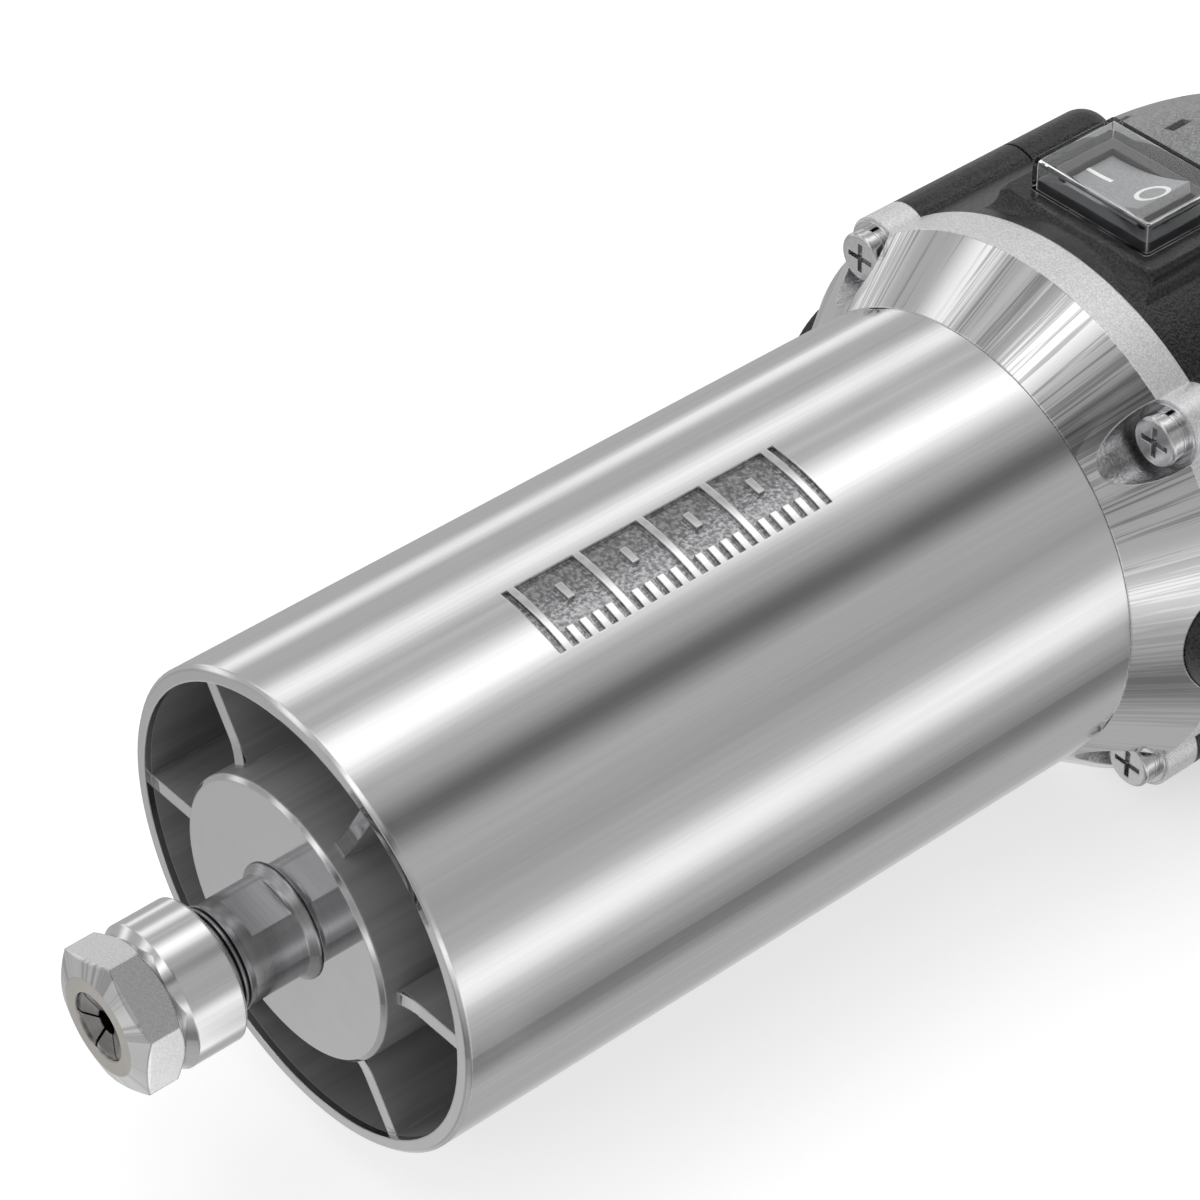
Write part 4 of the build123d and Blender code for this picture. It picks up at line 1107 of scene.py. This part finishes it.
@dataclass
class Studio:
    """Camera, lights, floor and surroundings.

    The camera's place, axes and lens are the ones that the barrel's outline in the photograph gives.
    Panels stand around the spindle by their angle. The cards stand before the nut, by how far a direction
    looks along the spindle, and beside it, by turns from the first angle.
    """

    camera_place: tuple[float, float, float] = (0.3034, -0.2563, 0.3473)
    right: tuple[float, float, float] = (0.6470, 0.7623, -0.0173)
    up: tuple[float, float, float] = (-0.4774, 0.4227, 0.7703)
    lens: float = 126.67
    sensor_width: float = 36.0
    clip_start: float = 0.01
    paper_dark: tuple[float, float, float] = (0.49, 0.49, 0.49)
    paper_light: tuple[float, float, float] = (0.51, 0.51, 0.51)
    paper_roughness: float = 0.8
    paper_shine: float = 0.1
    floor_glow: float = 0.6
    wall_glow: float = 1.0
    floor_height: float = -0.0393
    floor_size: float = 6.0
    wall_radius: float = 2.9
    wall_height: float = 3.0
    wall_sides: int = 72
    plain_level: float = 0.42
    first_angle: float = 8.0
    card_rear: tuple[float, float] = (0.395, 0.365)
    card_front: tuple[float, float] = (0.24, 0.3)
    card_start: tuple[float, float] = (0.74, 0.78)
    card_end: tuple[float, float] = (0.93, 0.9)
    card_level: float = 1.2
    ahead_level: float = 0.42
    panels: tuple[SoftPanel, ...] = (
        SoftPanel(centre=24.0, spread=15.0, level=0.35),
        SoftPanel(centre=60.0, spread=16.0, level=0.12),
        SoftPanel(centre=98.0, spread=20.0, level=1.25),
        SoftPanel(centre=122.0, spread=3.5, level=0.56),
        SoftPanel(centre=140.0, spread=14.0, level=1.0),
        SoftPanel(centre=177.0, spread=11.0, level=0.95),
        SoftPanel(centre=238.0, spread=22.0, level=0.62),
        SoftPanel(centre=305.0, spread=20.0, level=0.18),
        SoftPanel(centre=345.0, spread=20.0, level=1.0),
    )
    lamps: tuple[SoftLamp, ...] = (
        SoftLamp(name="overhead", place=(0.0, 0.0, 2.4), wide=3.0, high=3.0, power=26.0),
        SoftLamp(name="front", place=(0.6, -1.6, 1.1), wide=1.4, high=1.0, power=9.0),
    )
    lamp_target: tuple[float, float, float] = (0.0, 0.02, 0.0)

    def build(self) -> None:
        """Make the camera, the floor and the light."""
        bpy.context.scene.view_settings.view_transform = "Standard"
        self._camera()
        self._floor()
        self._backdrop()
        self._world()
        for lamp in self.lamps:
            lamp.hang(self.lamp_target)

    def _camera(self) -> None:
        """Stand the camera where the picture was taken from."""
        data = bpy.data.cameras.new("camera")
        data.lens = self.lens
        data.sensor_width = self.sensor_width
        data.clip_start = self.clip_start
        camera = _add_to_scene("camera", data)
        right = Vector(self.right).normalized()
        up = Vector(self.up)
        up = (up - up.dot(right) * right).normalized()
        back = right.cross(up)
        turn = Matrix((right, up, back)).transposed().to_4x4()
        camera.matrix_world = Matrix.Translation(self.camera_place) @ turn
        bpy.context.scene.camera = camera

    def _floor(self) -> None:
        """Lay the pale floor."""
        mesh = bpy.data.meshes.new("floor")
        half = self.floor_size / 2
        corners = [(-half, -half), (half, -half), (half, half), (-half, half)]
        mesh.from_pydata([(x, y, self.floor_height) for x, y in corners], [], [(0, 1, 2, 3)])
        floor = _add_to_scene("floor", mesh)
        floor.visible_glossy = False
        mesh.materials.append(self._paint("floor_paint", self.floor_glow))

    def _backdrop(self) -> None:
        """Stand a plain pale wall around the floor, which neither reflections nor shadows show."""
        mesh = bpy.data.meshes.new("backdrop")
        points = []
        for side in range(self.wall_sides):
            angle = 2 * math.pi * side / self.wall_sides
            x = self.wall_radius * math.cos(angle)
            y = self.wall_radius * math.sin(angle)
            points += [(x, y, self.floor_height), (x, y, self.wall_height)]
        last = 2 * self.wall_sides
        faces = [(k, (k + 2) % last, (k + 3) % last, k + 1) for k in range(0, last, 2)]
        mesh.from_pydata(points, [], faces)
        wall = _add_to_scene("backdrop", mesh)
        wall.visible_glossy = False
        wall.visible_diffuse = False
        wall.visible_shadow = False
        mesh.materials.append(self._paint("wall_paint", self.wall_glow))

    def _paint(self, name: str, glow: float) -> bpy.types.Material:
        """Make a matt pale paint that glows a little, as a lit paper does.

        Args:
            name: The material's name.
            glow: Strength of the glow.

        Returns:
            The new material.
        """
        material, sheet, shader = _start_material(name)
        cloud = sheet.noise(sheet.place(), scale=3.0, detail=2.0)
        tone = sheet.step(cloud, start=0.2, end=0.8)
        sheet.feed(shader.inputs["Base Color"], sheet.blend(tone, self.paper_dark, self.paper_light))
        shader.inputs["Emission Color"].default_value = (1.0, 1.0, 1.0, 1.0)
        shader.inputs["Emission Strength"].default_value = glow
        shader.inputs["Roughness"].default_value = self.paper_roughness
        shader.inputs["Specular IOR Level"].default_value = self.paper_shine
        return material

    def _world(self) -> None:
        """Surround the object with soft panels along the spindle, and set a bright card before its nut."""
        world = bpy.data.worlds.new("studio")
        bpy.context.scene.world = world
        world.use_nodes = True
        sheet = Sheet(world.node_tree)
        split = sheet.node("ShaderNodeSeparateXYZ")
        sheet.feed(split.inputs[0], sheet.node("ShaderNodeTexCoord").outputs["Generated"])
        angle = sheet.math("ARCTAN2", split.outputs["Z"], split.outputs["X"])
        angle = sheet.math("SUBTRACT", angle, math.radians(self.first_angle))
        turn = sheet.math("FRACT", sheet.math("DIVIDE", angle, 2 * math.pi))
        ramp = sheet.node("ShaderNodeValToRGB")
        ramp.color_ramp.interpolation = "EASE"
        stops = [stop for panel in self.panels for stop in panel.stops(self.plain_level)]
        marks = ramp.color_ramp.elements
        while len(marks) < len(stops):
            marks.new(1.0)
        for mark, (degrees, level) in zip(marks, stops):
            mark.position = (degrees - self.first_angle) / 360
            mark.color = (level, level, level, 1.0)
        sheet.feed(ramp.inputs[0], turn)
        ahead = sheet.step(split.outputs["Y"], *self.card_rear)
        ahead = sheet.math("MULTIPLY", ahead, sheet.step(split.outputs["Y"], *self.card_front))
        beside = sheet.math("MULTIPLY", sheet.step(turn, *self.card_start), sheet.step(turn, *self.card_end))
        card = sheet.math("MULTIPLY", ahead, beside)
        filled = sheet.math("MAXIMUM", ramp.outputs[0], self.ahead_level)
        level = sheet.between(ahead, ramp.outputs[0], filled)
        background = sheet.tree.nodes["Background"]
        bright = (self.card_level, self.card_level, self.card_level)
        sheet.feed(background.inputs["Color"], sheet.blend(card, level, bright))
        background.inputs["Strength"].default_value = 1.0


def main() -> None:
    """Build the looks in order."""
    logging.basicConfig(level=logging.INFO)
    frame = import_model()
    Studio().build()
    shop = Paintshop(Effects())
    for kind in (ClampingBarrel, MotorFlange, Spindle, ColletChuck, Motor, Switch):
        kind(shop, frame["nodes"]).build()
        LOG.info("%s is ready", kind.__name__)


if __name__ == "__main__":
    main()
